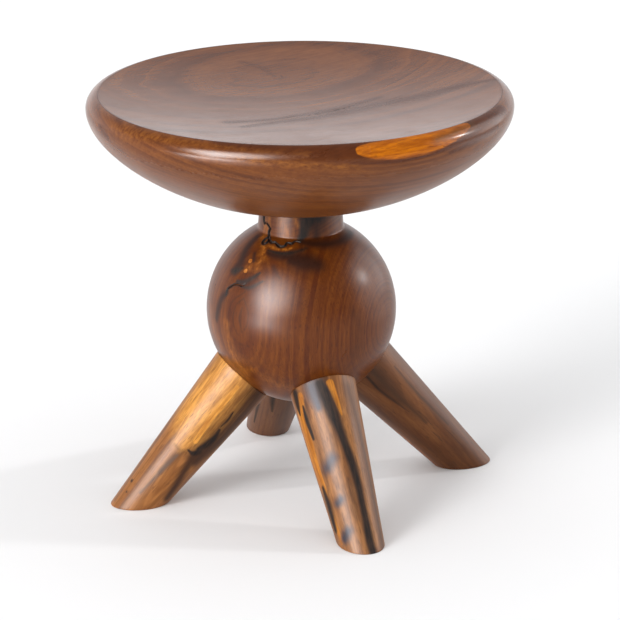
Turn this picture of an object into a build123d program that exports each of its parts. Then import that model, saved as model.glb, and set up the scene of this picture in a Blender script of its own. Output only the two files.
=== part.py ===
"""Turned wooden stool: a dished round seat on a short neck and a ball, carried by four splayed legs.

The ball and its neck are one turning. The seat stands on the neck, and each tapered leg has a
shoulder hollowed to the ball's own curve. Loose round dowels, fluted for glue, hold every joint.

Units are millimetres. +Z is up, and the origin is on the floor under the middle of the seat.
"""

import math
import os

from build123d import *

# Seat: a thick turned bowl blank with a shallow dish, a soft rim and a full belly
SEAT_HEIGHT = 430.0  # the crisp edge round the dish, above the floor
DISH_DEPTH = 14.0
ARRIS_RADIUS = 1.5  # rounds the dish's edge just enough to take off its sharpness
RIM_RADIUS = 216.0
RIM_WIDTH = 12.5  # from the dish's edge out to the widest part of the rim
RIM_DROP = 14.5  # and down to it
BELLY_HANDLE = 39.0  # curve handles: the longer one is, the fuller the belly at that end
UNDERSIDE_HANDLE = 72.0
LAND_HEIGHT = 317.0  # flat land under the seat, where the neck bears
LAND_MARGIN = 4.0  # the land's width outside the neck

# Ball and neck, turned from one block
BALL_RADIUS = 97.7
BALL_CENTRE_HEIGHT = 199.0
NECK_BASE_RADIUS = 44.0
NECK_TOP_RADIUS = 41.4
NECK_COVE_RADIUS = 3.0

# Legs: round tapers whose centre lines meet on the stool's axis, just above the ball's centre
LEG_AXES_HEIGHT = 206.0
LEG_SHOULDER_RADIUS = 33.8
LEG_FOOT_RADIUS = 23.3
SOLE_EASE = 1.2
SHOULDER_EASE = 0.6
# Each leg is bored by eye: (compass angle from +X, lean away from plumb), in degrees
LEG_BORING_ANGLE = {
    "front_left": (221.7, 40.5),
    "front_right": (318.6, 39.0),
    "back_right": (49.3, 42.0),
    "back_left": (130.3, 41.3),
}

# Loose dowels in bored sockets
LEG_DOWEL_RADIUS = 14.0
LEG_DOWEL_LENGTH = 68.0
SEAT_DOWEL_RADIUS = 18.0
SEAT_DOWEL_LENGTH = 86.0
DOWEL_CHAMFER = 2.0
GLUE_LINE = 0.1  # radial, between a dowel and its socket
SOCKET_END_GAP = 2.0  # beyond each end of a dowel, for surplus glue
FLUTE_SIDE = 1.6  # each flute is a vee: the corner of a square with this side
FLUTE_COUNT = 12


def leg_direction(compass, lean):
    """Unit vector along a leg's centre line, outwards and down."""
    level = math.sin(math.radians(lean))
    return Vector(
        level * math.cos(math.radians(compass)),
        level * math.sin(math.radians(compass)),
        -math.cos(math.radians(lean)),
    )


def shoulder_distance(lean):
    """How far along a leg's centre line, from the stool's axis, the ball's surface lies."""
    rise = LEG_AXES_HEIGHT - BALL_CENTRE_HEIGHT
    along = rise * math.cos(math.radians(lean))
    across = rise * math.sin(math.radians(lean))
    return along + math.sqrt(BALL_RADIUS**2 - across**2)


def leg_plane(compass, lean):
    """Plane square to a leg's centre line where it enters the ball, facing out along the leg."""
    direction = leg_direction(compass, lean)
    point = Vector(0, 0, LEG_AXES_HEIGHT) + direction * shoulder_distance(lean)
    tangent = Vector(-math.sin(math.radians(compass)), math.cos(math.radians(compass)), 0)
    return Plane(origin=point, x_dir=tangent, z_dir=direction)


def socket_depth(dowel_length):
    """Depth of each of the two sockets that share a dowel."""
    return dowel_length / 2 + SOCKET_END_GAP


def make_seat():
    """Seat, turned about Z, with the neck's dowel socket bored up into its land."""
    land_radius = NECK_TOP_RADIUS + LAND_MARGIN
    widest_height = SEAT_HEIGHT - RIM_DROP
    dish_radius = RIM_RADIUS - RIM_WIDTH
    with BuildPart() as seat:
        with BuildSketch(Plane.XZ) as profile:
            with BuildLine():
                TangentArc(
                    (0, SEAT_HEIGHT - DISH_DEPTH),
                    (dish_radius, SEAT_HEIGHT),
                    tangent=(1, 0),
                )
                TangentArc(
                    (RIM_RADIUS, widest_height),
                    (dish_radius, SEAT_HEIGHT),
                    tangent=(0, 1),
                )
                Bezier(
                    (RIM_RADIUS, widest_height),
                    (RIM_RADIUS, widest_height - BELLY_HANDLE),
                    (land_radius + UNDERSIDE_HANDLE, LAND_HEIGHT),
                    (land_radius, LAND_HEIGHT),
                )
                Line((land_radius, LAND_HEIGHT), (0, LAND_HEIGHT))
                Line((0, LAND_HEIGHT), (0, SEAT_HEIGHT - DISH_DEPTH))
            make_face()
            fillet(profile.vertices().sort_by(Axis.Y)[-1], ARRIS_RADIUS)
        revolve(axis=Axis.Z)
        with Locations(Plane(origin=(0, 0, LAND_HEIGHT), z_dir=(0, 0, -1))):
            Hole(SEAT_DOWEL_RADIUS + GLUE_LINE, socket_depth(SEAT_DOWEL_LENGTH))
    seat.part.label = "seat"
    return seat.part


def make_ball_and_neck():
    """Ball with its neck, bored for the seat's dowel and for the four leg dowels."""
    neck_base_height = BALL_CENTRE_HEIGHT + math.sqrt(BALL_RADIUS**2 - NECK_BASE_RADIUS**2)
    with BuildPart() as ball_and_neck:
        with BuildSketch(Plane.XZ):
            with BuildLine():
                ThreePointArc(
                    (0, BALL_CENTRE_HEIGHT - BALL_RADIUS),
                    (BALL_RADIUS, BALL_CENTRE_HEIGHT),
                    (NECK_BASE_RADIUS, neck_base_height),
                )
                Line((NECK_BASE_RADIUS, neck_base_height), (NECK_TOP_RADIUS, LAND_HEIGHT))
                Line((NECK_TOP_RADIUS, LAND_HEIGHT), (0, LAND_HEIGHT))
                Line((0, LAND_HEIGHT), (0, BALL_CENTRE_HEIGHT - BALL_RADIUS))
            make_face()
        revolve(axis=Axis.Z)
        neck_root = ball_and_neck.edges().filter_by_position(
            Axis.Z, neck_base_height, neck_base_height
        )
        fillet(neck_root.filter_by(GeomType.CIRCLE), NECK_COVE_RADIUS)
        with Locations(Plane.XY.offset(LAND_HEIGHT)):
            Hole(SEAT_DOWEL_RADIUS + GLUE_LINE, socket_depth(SEAT_DOWEL_LENGTH))
        for compass, lean in LEG_BORING_ANGLE.values():
            with Locations(leg_plane(compass, lean)):
                Hole(LEG_DOWEL_RADIUS + GLUE_LINE, socket_depth(LEG_DOWEL_LENGTH))
    ball_and_neck.part.label = "ball_and_neck"
    return ball_and_neck.part


def make_leg(name, compass, lean):
    """Turned and tapered leg: shoulder hollowed to the ball, sole cut level with the floor."""
    shoulder = leg_plane(compass, lean)
    # The ball's seam and poles are turned away from the leg, so that the hollow is one clean face
    ball = Plane((0, 0, BALL_CENTRE_HEIGHT), x_dir=-shoulder.z_dir, z_dir=shoulder.x_dir)
    floor_distance = LEG_AXES_HEIGHT / math.cos(math.radians(lean)) - shoulder_distance(lean)
    taper = (LEG_SHOULDER_RADIUS - LEG_FOOT_RADIUS) / floor_distance
    stock_above = LEG_SHOULDER_RADIUS  # blank left over at each end, before it is cut away
    stock_below = 2 * LEG_FOOT_RADIUS
    with BuildPart() as leg:
        with Locations(shoulder.offset(-stock_above)):
            Cone(
                bottom_radius=LEG_SHOULDER_RADIUS + taper * stock_above,
                top_radius=LEG_FOOT_RADIUS - taper * stock_below,
                height=stock_above + floor_distance + stock_below,
                align=(Align.CENTER, Align.CENTER, Align.MIN),
            )
        with Locations(ball):
            Sphere(BALL_RADIUS, mode=Mode.SUBTRACT)
        split(bisect_by=Plane.XY, keep=Keep.TOP)
        chamfer(leg.faces().sort_by(Axis.Z)[0].edges(), SOLE_EASE)
        hollow = leg.faces().filter_by(GeomType.SPHERE)
        chamfer(hollow.edges(), SHOULDER_EASE)
        with Locations(Plane(origin=shoulder.origin, z_dir=-shoulder.z_dir)):
            Hole(LEG_DOWEL_RADIUS + GLUE_LINE, socket_depth(LEG_DOWEL_LENGTH))
    leg.part.label = name
    return leg.part


def make_dowel(name, middle, radius, length):
    """Loose dowel with chamfered ends and straight glue flutes, centred on the plane middle."""
    with BuildPart() as dowel:
        with BuildSketch(middle.offset(-length / 2)):
            Circle(radius)
        extrude(amount=length)
        chamfer(dowel.edges().filter_by(GeomType.CIRCLE), DOWEL_CHAMFER)
        with BuildSketch(middle.offset(-length / 2)):
            with PolarLocations(radius, FLUTE_COUNT):
                Rectangle(FLUTE_SIDE, FLUTE_SIDE, rotation=45)
        extrude(amount=length, mode=Mode.SUBTRACT)
    dowel.part.label = name
    return dowel.part


pieces = [make_seat(), make_ball_and_neck()]
pieces.append(
    make_dowel("dowel_seat", Plane.XY.offset(LAND_HEIGHT), SEAT_DOWEL_RADIUS, SEAT_DOWEL_LENGTH)
)
for corner, (compass_angle, lean_angle) in LEG_BORING_ANGLE.items():
    pieces.append(make_leg(f"leg_{corner}", compass_angle, lean_angle))
    joint_plane = leg_plane(compass_angle, lean_angle)
    pieces.append(
        make_dowel(f"dowel_leg_{corner}", joint_plane, LEG_DOWEL_RADIUS, LEG_DOWEL_LENGTH)
    )

os.makedirs("parts", exist_ok=True)
for piece in pieces:
    export_step(piece, f"parts/{piece.label}.step")
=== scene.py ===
"""Dresses a turned hardwood stool: a dished seat, a ball with its neck, and four splayed legs.

Every turned piece is worked out as a fine closed surface that stands for its plain solid in the frame,
and gets polished, figured timber of its own. The dowels hidden in the joints keep their solids.

Units are metres, but the marks in the wood are written in degrees and millimetres. +Z is up, and the
origin is on the floor under the middle of the seat.
"""

import logging
import math
from dataclasses import dataclass, replace
from enum import Enum

import bpy
import numpy as np
from mathutils import Matrix, Quaternion, Vector


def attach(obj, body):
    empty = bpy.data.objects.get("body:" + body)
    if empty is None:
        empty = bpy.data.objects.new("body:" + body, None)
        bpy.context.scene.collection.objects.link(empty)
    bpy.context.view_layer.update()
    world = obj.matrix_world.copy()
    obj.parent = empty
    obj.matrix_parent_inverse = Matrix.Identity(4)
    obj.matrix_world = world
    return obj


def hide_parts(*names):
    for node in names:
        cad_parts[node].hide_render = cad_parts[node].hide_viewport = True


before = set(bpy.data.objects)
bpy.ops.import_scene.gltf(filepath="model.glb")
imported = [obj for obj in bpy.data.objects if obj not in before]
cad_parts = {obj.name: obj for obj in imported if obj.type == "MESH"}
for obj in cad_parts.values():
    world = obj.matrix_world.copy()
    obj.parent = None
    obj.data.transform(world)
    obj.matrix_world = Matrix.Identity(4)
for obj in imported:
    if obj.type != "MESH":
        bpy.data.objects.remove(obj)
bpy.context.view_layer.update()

Array = np.ndarray
Triple = tuple[float, float, float]
Colour = Triple  # linear red, green and blue
Pair = tuple[Colour, Colour]  # the deep and the bright end of a colour
Point = tuple[float, float]  # in a profile's plane: distance from the axis, then height
Socket = bpy.types.NodeSocket
log = logging.getLogger("stool")

BODY = "root"
UP = (0.0, 0.0, 1.0)
MILLIMETRES = 1000.0  # in a metre


# --------------------------------------------------------------------------------------------------
# Marks in the wood
# --------------------------------------------------------------------------------------------------


class Figure(Enum):
    """The kinds of mark that the timber shows, each held on a mesh as an attribute of this name."""

    UMBER = "umber"  # soft brown: dark wood, and in a few places painted shade
    HONEY = "honey"  # mottled golden zone: the wood's own, and in a few places painted light
    AMBER = "amber"  # clear orange sapwood with a crisp edge
    SLATE = "slate"  # blue-grey stain
    INK = "ink"  # near-black streak
    CRACK = "crack"  # opening that goes into the surface


UMBER, HONEY, AMBER, SLATE, INK, CRACK = Figure  # short names, for the lists of marks

SAMPLES_PER_SPAN = 9
NO_MARK = -1.0
LEAST_HALF_WIDTH = 1e-4
LEAST_LENGTH2 = 1e-12  # stands for the squared length of a span between two equal points
STAIN_REACH = 0.0006  # how far the dark wood beside a crack goes past it
STAIN_STRENGTH = 1.15


@dataclass(frozen=True)
class Mark:
    """One streak, patch or crack, drawn on a piece in that piece's own surface coordinates.

    Args:
        kind: what the mark is.
        strength: the membership on its middle, 1 for a full mark and less for a faint one.
        points: (across, along, half width in metres) at each point of its middle. One point makes a
            round spot.
    """

    kind: Figure
    strength: float
    points: tuple[Triple, ...]

    def stain(self) -> "Mark":
        """The dark wood beside a crack."""
        wider = tuple((across, along, width + STAIN_REACH) for across, along, width in self.points)
        return Mark(Figure.INK, STAIN_STRENGTH, wider)


def streak(kind: Figure, strength: float, *points: Triple) -> Mark:
    """Draws a mark on the outside of a piece.

    Args:
        kind: what the mark is.
        strength: 1 for a full mark, less for a faint one.
        points: (angle round the piece in degrees, place along it and half width in millimetres).

    Returns:
        The mark, in metres.
    """
    metres = ((angle, along / MILLIMETRES, width / MILLIMETRES) for angle, along, width in points)
    return Mark(kind, strength, tuple(metres))


def dish_streak(kind: Figure, strength: float, *points: Triple) -> Mark:
    """Draws a mark in the seat's dish.

    Args:
        kind: what the mark is.
        strength: 1 for a full mark, less for a faint one.
        points: (x, y, half width), all in millimetres.

    Returns:
        The mark, in metres.
    """
    metres = ((x / MILLIMETRES, y / MILLIMETRES + DISH, width / MILLIMETRES) for x, y, width in points)
    return Mark(kind, strength, tuple(metres))


def smooth_path(points: Array) -> Array:
    """Runs a Catmull-Rom curve through rows of numbers.

    Between rows b and c, with neighbours a and d, the curve at t is half of
    2b + (c - a)t + (2a - 5b + 4c - d)t^2 + (3b - a - 3c + d)t^3.

    Args:
        points: one row for each control point, of any width.

    Returns:
        Rows along the curve, the given points among them.
    """
    if len(points) == 1:
        return points
    longer = np.vstack([2 * points[:1] - points[1:2], points, 2 * points[-1:] - points[-2:-1]])
    a, b, c, d = (longer[start : start + len(points) - 1, None, :] for start in range(4))
    t = np.linspace(0.0, 1.0, SAMPLES_PER_SPAN, endpoint=False)[None, :, None]
    curve = 0.5 * (
        2 * b + (c - a) * t + (2 * a - 5 * b + 4 * c - d) * t**2 + (3 * b - a - 3 * c + d) * t**3
    )
    return np.vstack([curve.reshape(-1, points.shape[1]), points[-1:]])


def membership(vertices: Array, middle: Array, half_width: Array) -> Array:
    """How deep each vertex lies in a streak: 1 on its middle, 0 on its edge, NO_MARK well outside.

    The value is 1 - distance / half width, both taken at the nearest place on each span, and the
    largest over the spans.

    Args:
        vertices: points of the mesh, one in each row.
        middle: points along the streak's middle.
        half_width: the streak's half width at each of them.

    Returns:
        One value for each vertex.
    """
    value = np.full(len(vertices), NO_MARK)
    reach = (1.0 - NO_MARK) * half_width.max()
    near = np.all((vertices > middle.min(0) - reach) & (vertices < middle.max(0) + reach), axis=1)
    if not near.any():
        return value
    close = vertices[near][:, None, :]
    start, end = (middle[:-1], middle[1:]) if len(middle) > 1 else (middle, middle)
    w0, w1 = (half_width[:-1], half_width[1:]) if len(middle) > 1 else (half_width, half_width)
    span = end - start
    length2 = np.maximum((span**2).sum(1), LEAST_LENGTH2)
    t = np.clip(((close - start) * span).sum(2) / length2, 0.0, 1.0)
    distance = np.linalg.norm(close - (start + t[..., None] * span), axis=2)
    inside = 1.0 - distance / (w0 + t * (w1 - w0))
    value[near] = np.maximum(inside.max(1), NO_MARK)
    return value


# --------------------------------------------------------------------------------------------------
# Meshes
# --------------------------------------------------------------------------------------------------


def closed_skin(name: str, rings: Array, first_pole: Array, last_pole: Array) -> bpy.types.Object:
    """Makes a closed mesh of rings of points, with a single point closing each end.

    Args:
        name: the piece's name.
        rings: points as (ring, place round it, xyz). Seen from the first pole's end, from outside,
            they run anticlockwise.
        first_pole: the point that closes the first ring.
        last_pole: the point that closes the last ring.

    Returns:
        The object, at the origin, with its faces outwards.
    """
    rows, columns, _ = rings.shape
    vertices = np.vstack([first_pole[None], rings.reshape(-1, 3), last_pole[None]])
    index = 1 + np.arange(rows * columns).reshape(rows, columns)
    beside = np.roll(index, -1, axis=1)
    quads = np.stack([index[:-1], index[1:], beside[1:], beside[:-1]], axis=-1).reshape(-1, 4)
    first_fan = np.stack([np.zeros(columns, int), index[0], beside[0]], axis=-1)
    last_fan = np.stack([np.full(columns, len(vertices) - 1), beside[-1], index[-1]], axis=-1)
    corners = np.concatenate([first_fan.ravel(), quads.ravel(), last_fan.ravel()]).astype(np.int32)
    sizes = np.concatenate([np.full(columns, 3), np.full(len(quads), 4), np.full(columns, 3)])
    starts = np.concatenate([[0], np.cumsum(sizes)[:-1]]).astype(np.int32)

    mesh = bpy.data.meshes.new(name)
    mesh.vertices.add(len(vertices))
    mesh.vertices.foreach_set("co", vertices.astype(np.float32).ravel())
    mesh.loops.add(len(corners))
    mesh.loops.foreach_set("vertex_index", corners)
    mesh.polygons.add(len(sizes))
    mesh.polygons.foreach_set("loop_start", starts)
    mesh.polygons.foreach_set("use_smooth", np.ones(len(sizes), dtype=bool))
    mesh.update(calc_edges=True)
    mesh.validate()
    piece = bpy.data.objects.new(name, mesh)
    bpy.context.scene.collection.objects.link(piece)
    return piece


def mesh_points(piece: bpy.types.Object) -> Array:
    """Reads a mesh's vertices.

    Args:
        piece: the mesh's object.

    Returns:
        One point in each row.
    """
    points = np.empty(len(piece.data.vertices) * 3, dtype=np.float32)
    piece.data.vertices.foreach_get("co", points)
    return points.reshape(-1, 3).astype(float)


def write_attribute(piece: bpy.types.Object, name: str, values: Array) -> None:
    """Stores one number for each vertex under a name that materials can read."""
    attribute = piece.data.attributes.new(name, "FLOAT", "POINT")
    attribute.data.foreach_set("value", values.astype(np.float32))


def arc(centre: Point, radius: float, start: float, end: float, count: int) -> Array:
    """Points on an arc in a profile's plane: centre + radius * (cos a, sin a).

    Args:
        centre: the arc's centre, as (distance from the axis, height).
        radius: the arc's radius.
        start: first angle, in degrees anticlockwise from outwards.
        end: last angle, in degrees.
        count: number of points, both ends included.

    Returns:
        One point in each row.
    """
    angle = np.radians(np.linspace(start, end, count))
    return np.array(centre) + radius * np.stack([np.cos(angle), np.sin(angle)], axis=-1)


def line(start: Point, end: Point, count: int) -> Array:
    """Points evenly spaced on a straight line in a profile's plane, both ends included."""
    return np.linspace(start, end, count)


def bend(start: Array, corner: Array, end: Array, count: int) -> Array:
    """Rounds a corner: (1-t)^2 start + 2t(1-t) corner + t^2 end, for arrays of points of any shape."""
    t = np.linspace(0.0, 1.0, count).reshape((count,) + (1,) * np.ndim(start))
    return (1 - t) ** 2 * start + 2 * t * (1 - t) * corner + t**2 * end


def angle_to(centre: Point, point: Point) -> float:
    """Direction from a centre to a point in a profile's plane, in degrees."""
    return math.degrees(math.atan2(point[1] - centre[1], point[0] - centre[0]))


def revolve(profile: Array, azimuths: Array) -> Array:
    """Turns a profile about the Z axis: (r cos a, r sin a, z) for every azimuth a.

    Args:
        profile: rows of (distance from the axis, height).
        azimuths: places round the axis, in radians.

    Returns:
        Points as (row of the profile, azimuth, xyz).
    """
    radius, height = profile[:, :1], profile[:, 1:]
    x = radius * np.cos(azimuths)
    y = radius * np.sin(azimuths)
    return np.stack([x, y, np.broadcast_to(height, x.shape)], axis=-1)


CROWDING_STEPS = 4001  # of the running total


def crowded(start: float, end: float, count: int, low: float, high: float, share: float) -> Array:
    """Places from start to end, crowded together between low and high.

    A running total of a density is turned round: the density is 1 everywhere, plus what it takes for
    the crowded stretch to hold its share of the places.

    Args:
        start: first place.
        end: last place.
        count: number of places, both ends included.
        low: where the crowded stretch begins.
        high: where it ends.
        share: the part of the places that it holds, from 0 to 1.

    Returns:
        The places, in order.
    """
    fine = np.linspace(start, end, CROWDING_STEPS)
    open_density = (1.0 - share) / ((end - start) - (high - low))
    density = np.where((fine > low) & (fine < high), share / (high - low), open_density)
    total = np.concatenate([[0.0], np.cumsum((density[1:] + density[:-1]) / 2)])
    return np.interp(np.linspace(0.0, total[-1], count), total, fine)


# --------------------------------------------------------------------------------------------------
# Shader nodes
# --------------------------------------------------------------------------------------------------


@dataclass(frozen=True)
class Noise:
    """One noise in the timber.

    Args:
        scale: waves for each unit of its input, which is a metre unless it is a ring.
        detail: how many finer noises are laid over it.
        roughness: how strong each finer noise is beside the one before it.
        seed: keeps it apart from the others.
        drawn: how much shorter it counts lengths along the fibres, where it is drawn out along them.
    """

    scale: float
    detail: float
    roughness: float
    seed: float = 0.0
    drawn: float = 1.0


class NodeSheet:
    """A node tree being drawn: adds nodes, and fills or links their inputs in one call."""

    def __init__(self, tree: bpy.types.NodeTree) -> None:
        """Keeps the tree that is drawn on."""
        self.tree = tree

    def feed(self, socket: Socket, value: object) -> None:
        """Fills an input.

        Args:
            socket: the input.
            value: a plain value, or an output socket to link it to.
        """
        if isinstance(value, bpy.types.NodeSocket):
            self.tree.links.new(value, socket)
        else:
            socket.default_value = value

    def add(self, kind: str, inputs: dict | None = None, **settings: object) -> bpy.types.Node:
        """Adds a node.

        Args:
            kind: the node's type, without the leading ShaderNode.
            inputs: socket name or number to a value, or to an output socket that feeds it.
            settings: properties of the node itself.

        Returns:
            The node.
        """
        node = self.tree.nodes.new(kind if kind.startswith("NodeGroup") else "ShaderNode" + kind)
        for key, value in settings.items():
            setattr(node, key, value)
        for key, value in (inputs or {}).items():
            self.feed(node.inputs[key], value)
        return node

    def math(self, operation: str, *values: object) -> Socket:
        """Adds a Math node over values or sockets, and gives its output."""
        return self.add("Math", dict(enumerate(values)), operation=operation).outputs[0]

    def vector(self, operation: str, *values: object) -> Socket:
        """Adds a Vector Math node over values or sockets, and gives the vector."""
        return self.add("VectorMath", dict(enumerate(values)), operation=operation).outputs["Vector"]

    def measure(self, operation: str, *values: object) -> Socket:
        """Adds a Vector Math node that measures vectors, and gives the number."""
        return self.add("VectorMath", dict(enumerate(values)), operation=operation).outputs["Value"]

    def swing(self, value: object, amount: object) -> Socket:
        """How far a noise departs from its middle, times an amount."""
        return self.math("MULTIPLY", self.math("SUBTRACT", value, 0.5), amount)

    def noise(self, kind: Noise, dimensions: str, **place: object) -> bpy.types.Node:
        """Adds a noise.

        Args:
            kind: the noise.
            dimensions: "1D" over W, "3D" over Vector or "4D" over both.
            place: what feeds W and Vector.

        Returns:
            The node.
        """
        inputs = {"Scale": kind.scale, "Detail": kind.detail, "Roughness": kind.roughness, **place}
        return self.add("TexNoise", inputs, noise_dimensions=dimensions)

    def mix(self, share: object, first: object, second: object, blend: str = "MIX") -> Socket:
        """Lays one colour over another.

        Args:
            share: how much of the second colour shows, from 0 to 1.
            first: the colour below, as a value with alpha or as a socket.
            second: the colour on top.
            blend: the way in which they mix.

        Returns:
            The mixed colour.
        """
        node = self.add("Mix", data_type="RGBA", blend_type=blend)
        inputs = {socket.identifier: socket for socket in node.inputs}
        for name, value in (("Factor_Float", share), ("A_Color", first), ("B_Color", second)):
            self.feed(inputs[name], value)
        return next(socket for socket in node.outputs if socket.identifier == "Result_Color")

    def ramp(self, value: Socket, *stops: tuple[float, Colour]) -> Socket:
        """Runs a value through a colour ramp.

        Args:
            value: what is looked up.
            stops: (place, colour) along the ramp, in order.

        Returns:
            The colour.
        """
        node = self.add("ValToRGB", {"Fac": value})
        elements = node.color_ramp.elements
        while len(elements) < len(stops):
            elements.new(0.5)
        for element, (place, colour) in zip(elements, stops):
            element.position = place
            element.color = opaque(colour)
        return node.outputs["Color"]

    def step(self, value: object, low: object, high: object) -> Socket:
        """A smooth step.

        Args:
            value: what is compared.
            low: where the step is still 0.
            high: where it reaches 1. It may be less than low, and then the step falls.

        Returns:
            The step, from 0 to 1.
        """
        ends = {"Value": value, "From Min": low, "From Max": high}
        return self.add("MapRange", ends, interpolation_type="SMOOTHSTEP").outputs["Result"]


def opaque(colour: Colour) -> tuple[float, float, float, float]:
    """Adds a full alpha to a colour."""
    return (*colour, 1.0)


def blank_material(name: str) -> tuple[bpy.types.Material, NodeSheet]:
    """Starts a node material with nothing in it.

    Args:
        name: the material's name.

    Returns:
        The material, and a sheet for its nodes.
    """
    material = bpy.data.materials.new(name)
    material.use_nodes = True
    material.node_tree.nodes.clear()
    return material, NodeSheet(material.node_tree)


def upright(direction: Triple) -> Quaternion:
    """The turn that stands a direction upright."""
    return Vector(direction).normalized().rotation_difference(Vector(UP))


def new_group(
    name: str, inputs: tuple[tuple[str, str, float], ...], outputs: tuple[str, ...]
) -> tuple[bpy.types.NodeTree, NodeSheet, bpy.types.bpy_prop_collection, bpy.types.bpy_prop_collection]:
    """Starts a shader node group with named sockets.

    Args:
        name: the group's name.
        inputs: (name, socket type without the leading NodeSocket, default value, ignored for vectors).
        outputs: the names of the numbers that it gives.

    Returns:
        The group, a sheet for its tree, the sockets that it is given and the sockets that it fills.
    """
    group = bpy.data.node_groups.new(name, "ShaderNodeTree")
    for label, kind, default in inputs:
        socket = group.interface.new_socket(name=label, in_out="INPUT", socket_type="NodeSocket" + kind)
        if kind == "Float":
            socket.default_value = default
    for label in outputs:
        group.interface.new_socket(name=label, in_out="OUTPUT", socket_type="NodeSocketFloat")
    sheet = NodeSheet(group)
    entry = sheet.add("NodeGroupInput")
    leave = sheet.add("NodeGroupOutput")
    return group, sheet, entry.outputs, leave.inputs


# The noises that make up the grain
BROAD_WARP = Noise(9.0, 2.0, 0.5, seed=1.0)
FINE_WARP = Noise(42.0, 2.0, 0.5, seed=2.0)
BANDS = Noise(1.0, 3.0, 0.55)
LINES = Noise(3.2, 3.0, 0.7, seed=40.0)
LINE_FADE = Noise(38.0, 2.0, 0.5, seed=7.0)
FIBRE = Noise(420.0, 4.0, 0.6, seed=3.0, drawn=0.035)
PORES = Noise(900.0, 1.0, 0.4, seed=4.0, drawn=0.09)
FLECKS = Noise(260.0, 3.0, 0.65, seed=6.0, drawn=0.16)
MOTTLE = Noise(55.0, 3.0, 0.55, seed=5.0)
BROAD_WARP_REACH = 4.0  # times the fine one's
LINE_FADE_EDGES = (0.35, 0.65)
LINE_FLOOR = 0.35  # what is left of the lines where they fade
PORE_EDGES = (0.6, 0.7)
FIBRE_RELIEF = 0.4
PORE_RELIEF = 0.6

# The noises in the polish
SHEEN_CLOUD = Noise(22.0, 5.0, 0.6)
SANDING_WAVES = Noise(30.0, 1.0, 0.4)
FULL_SWING = 2.0  # stretches a noise's half either side of its middle to one


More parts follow.
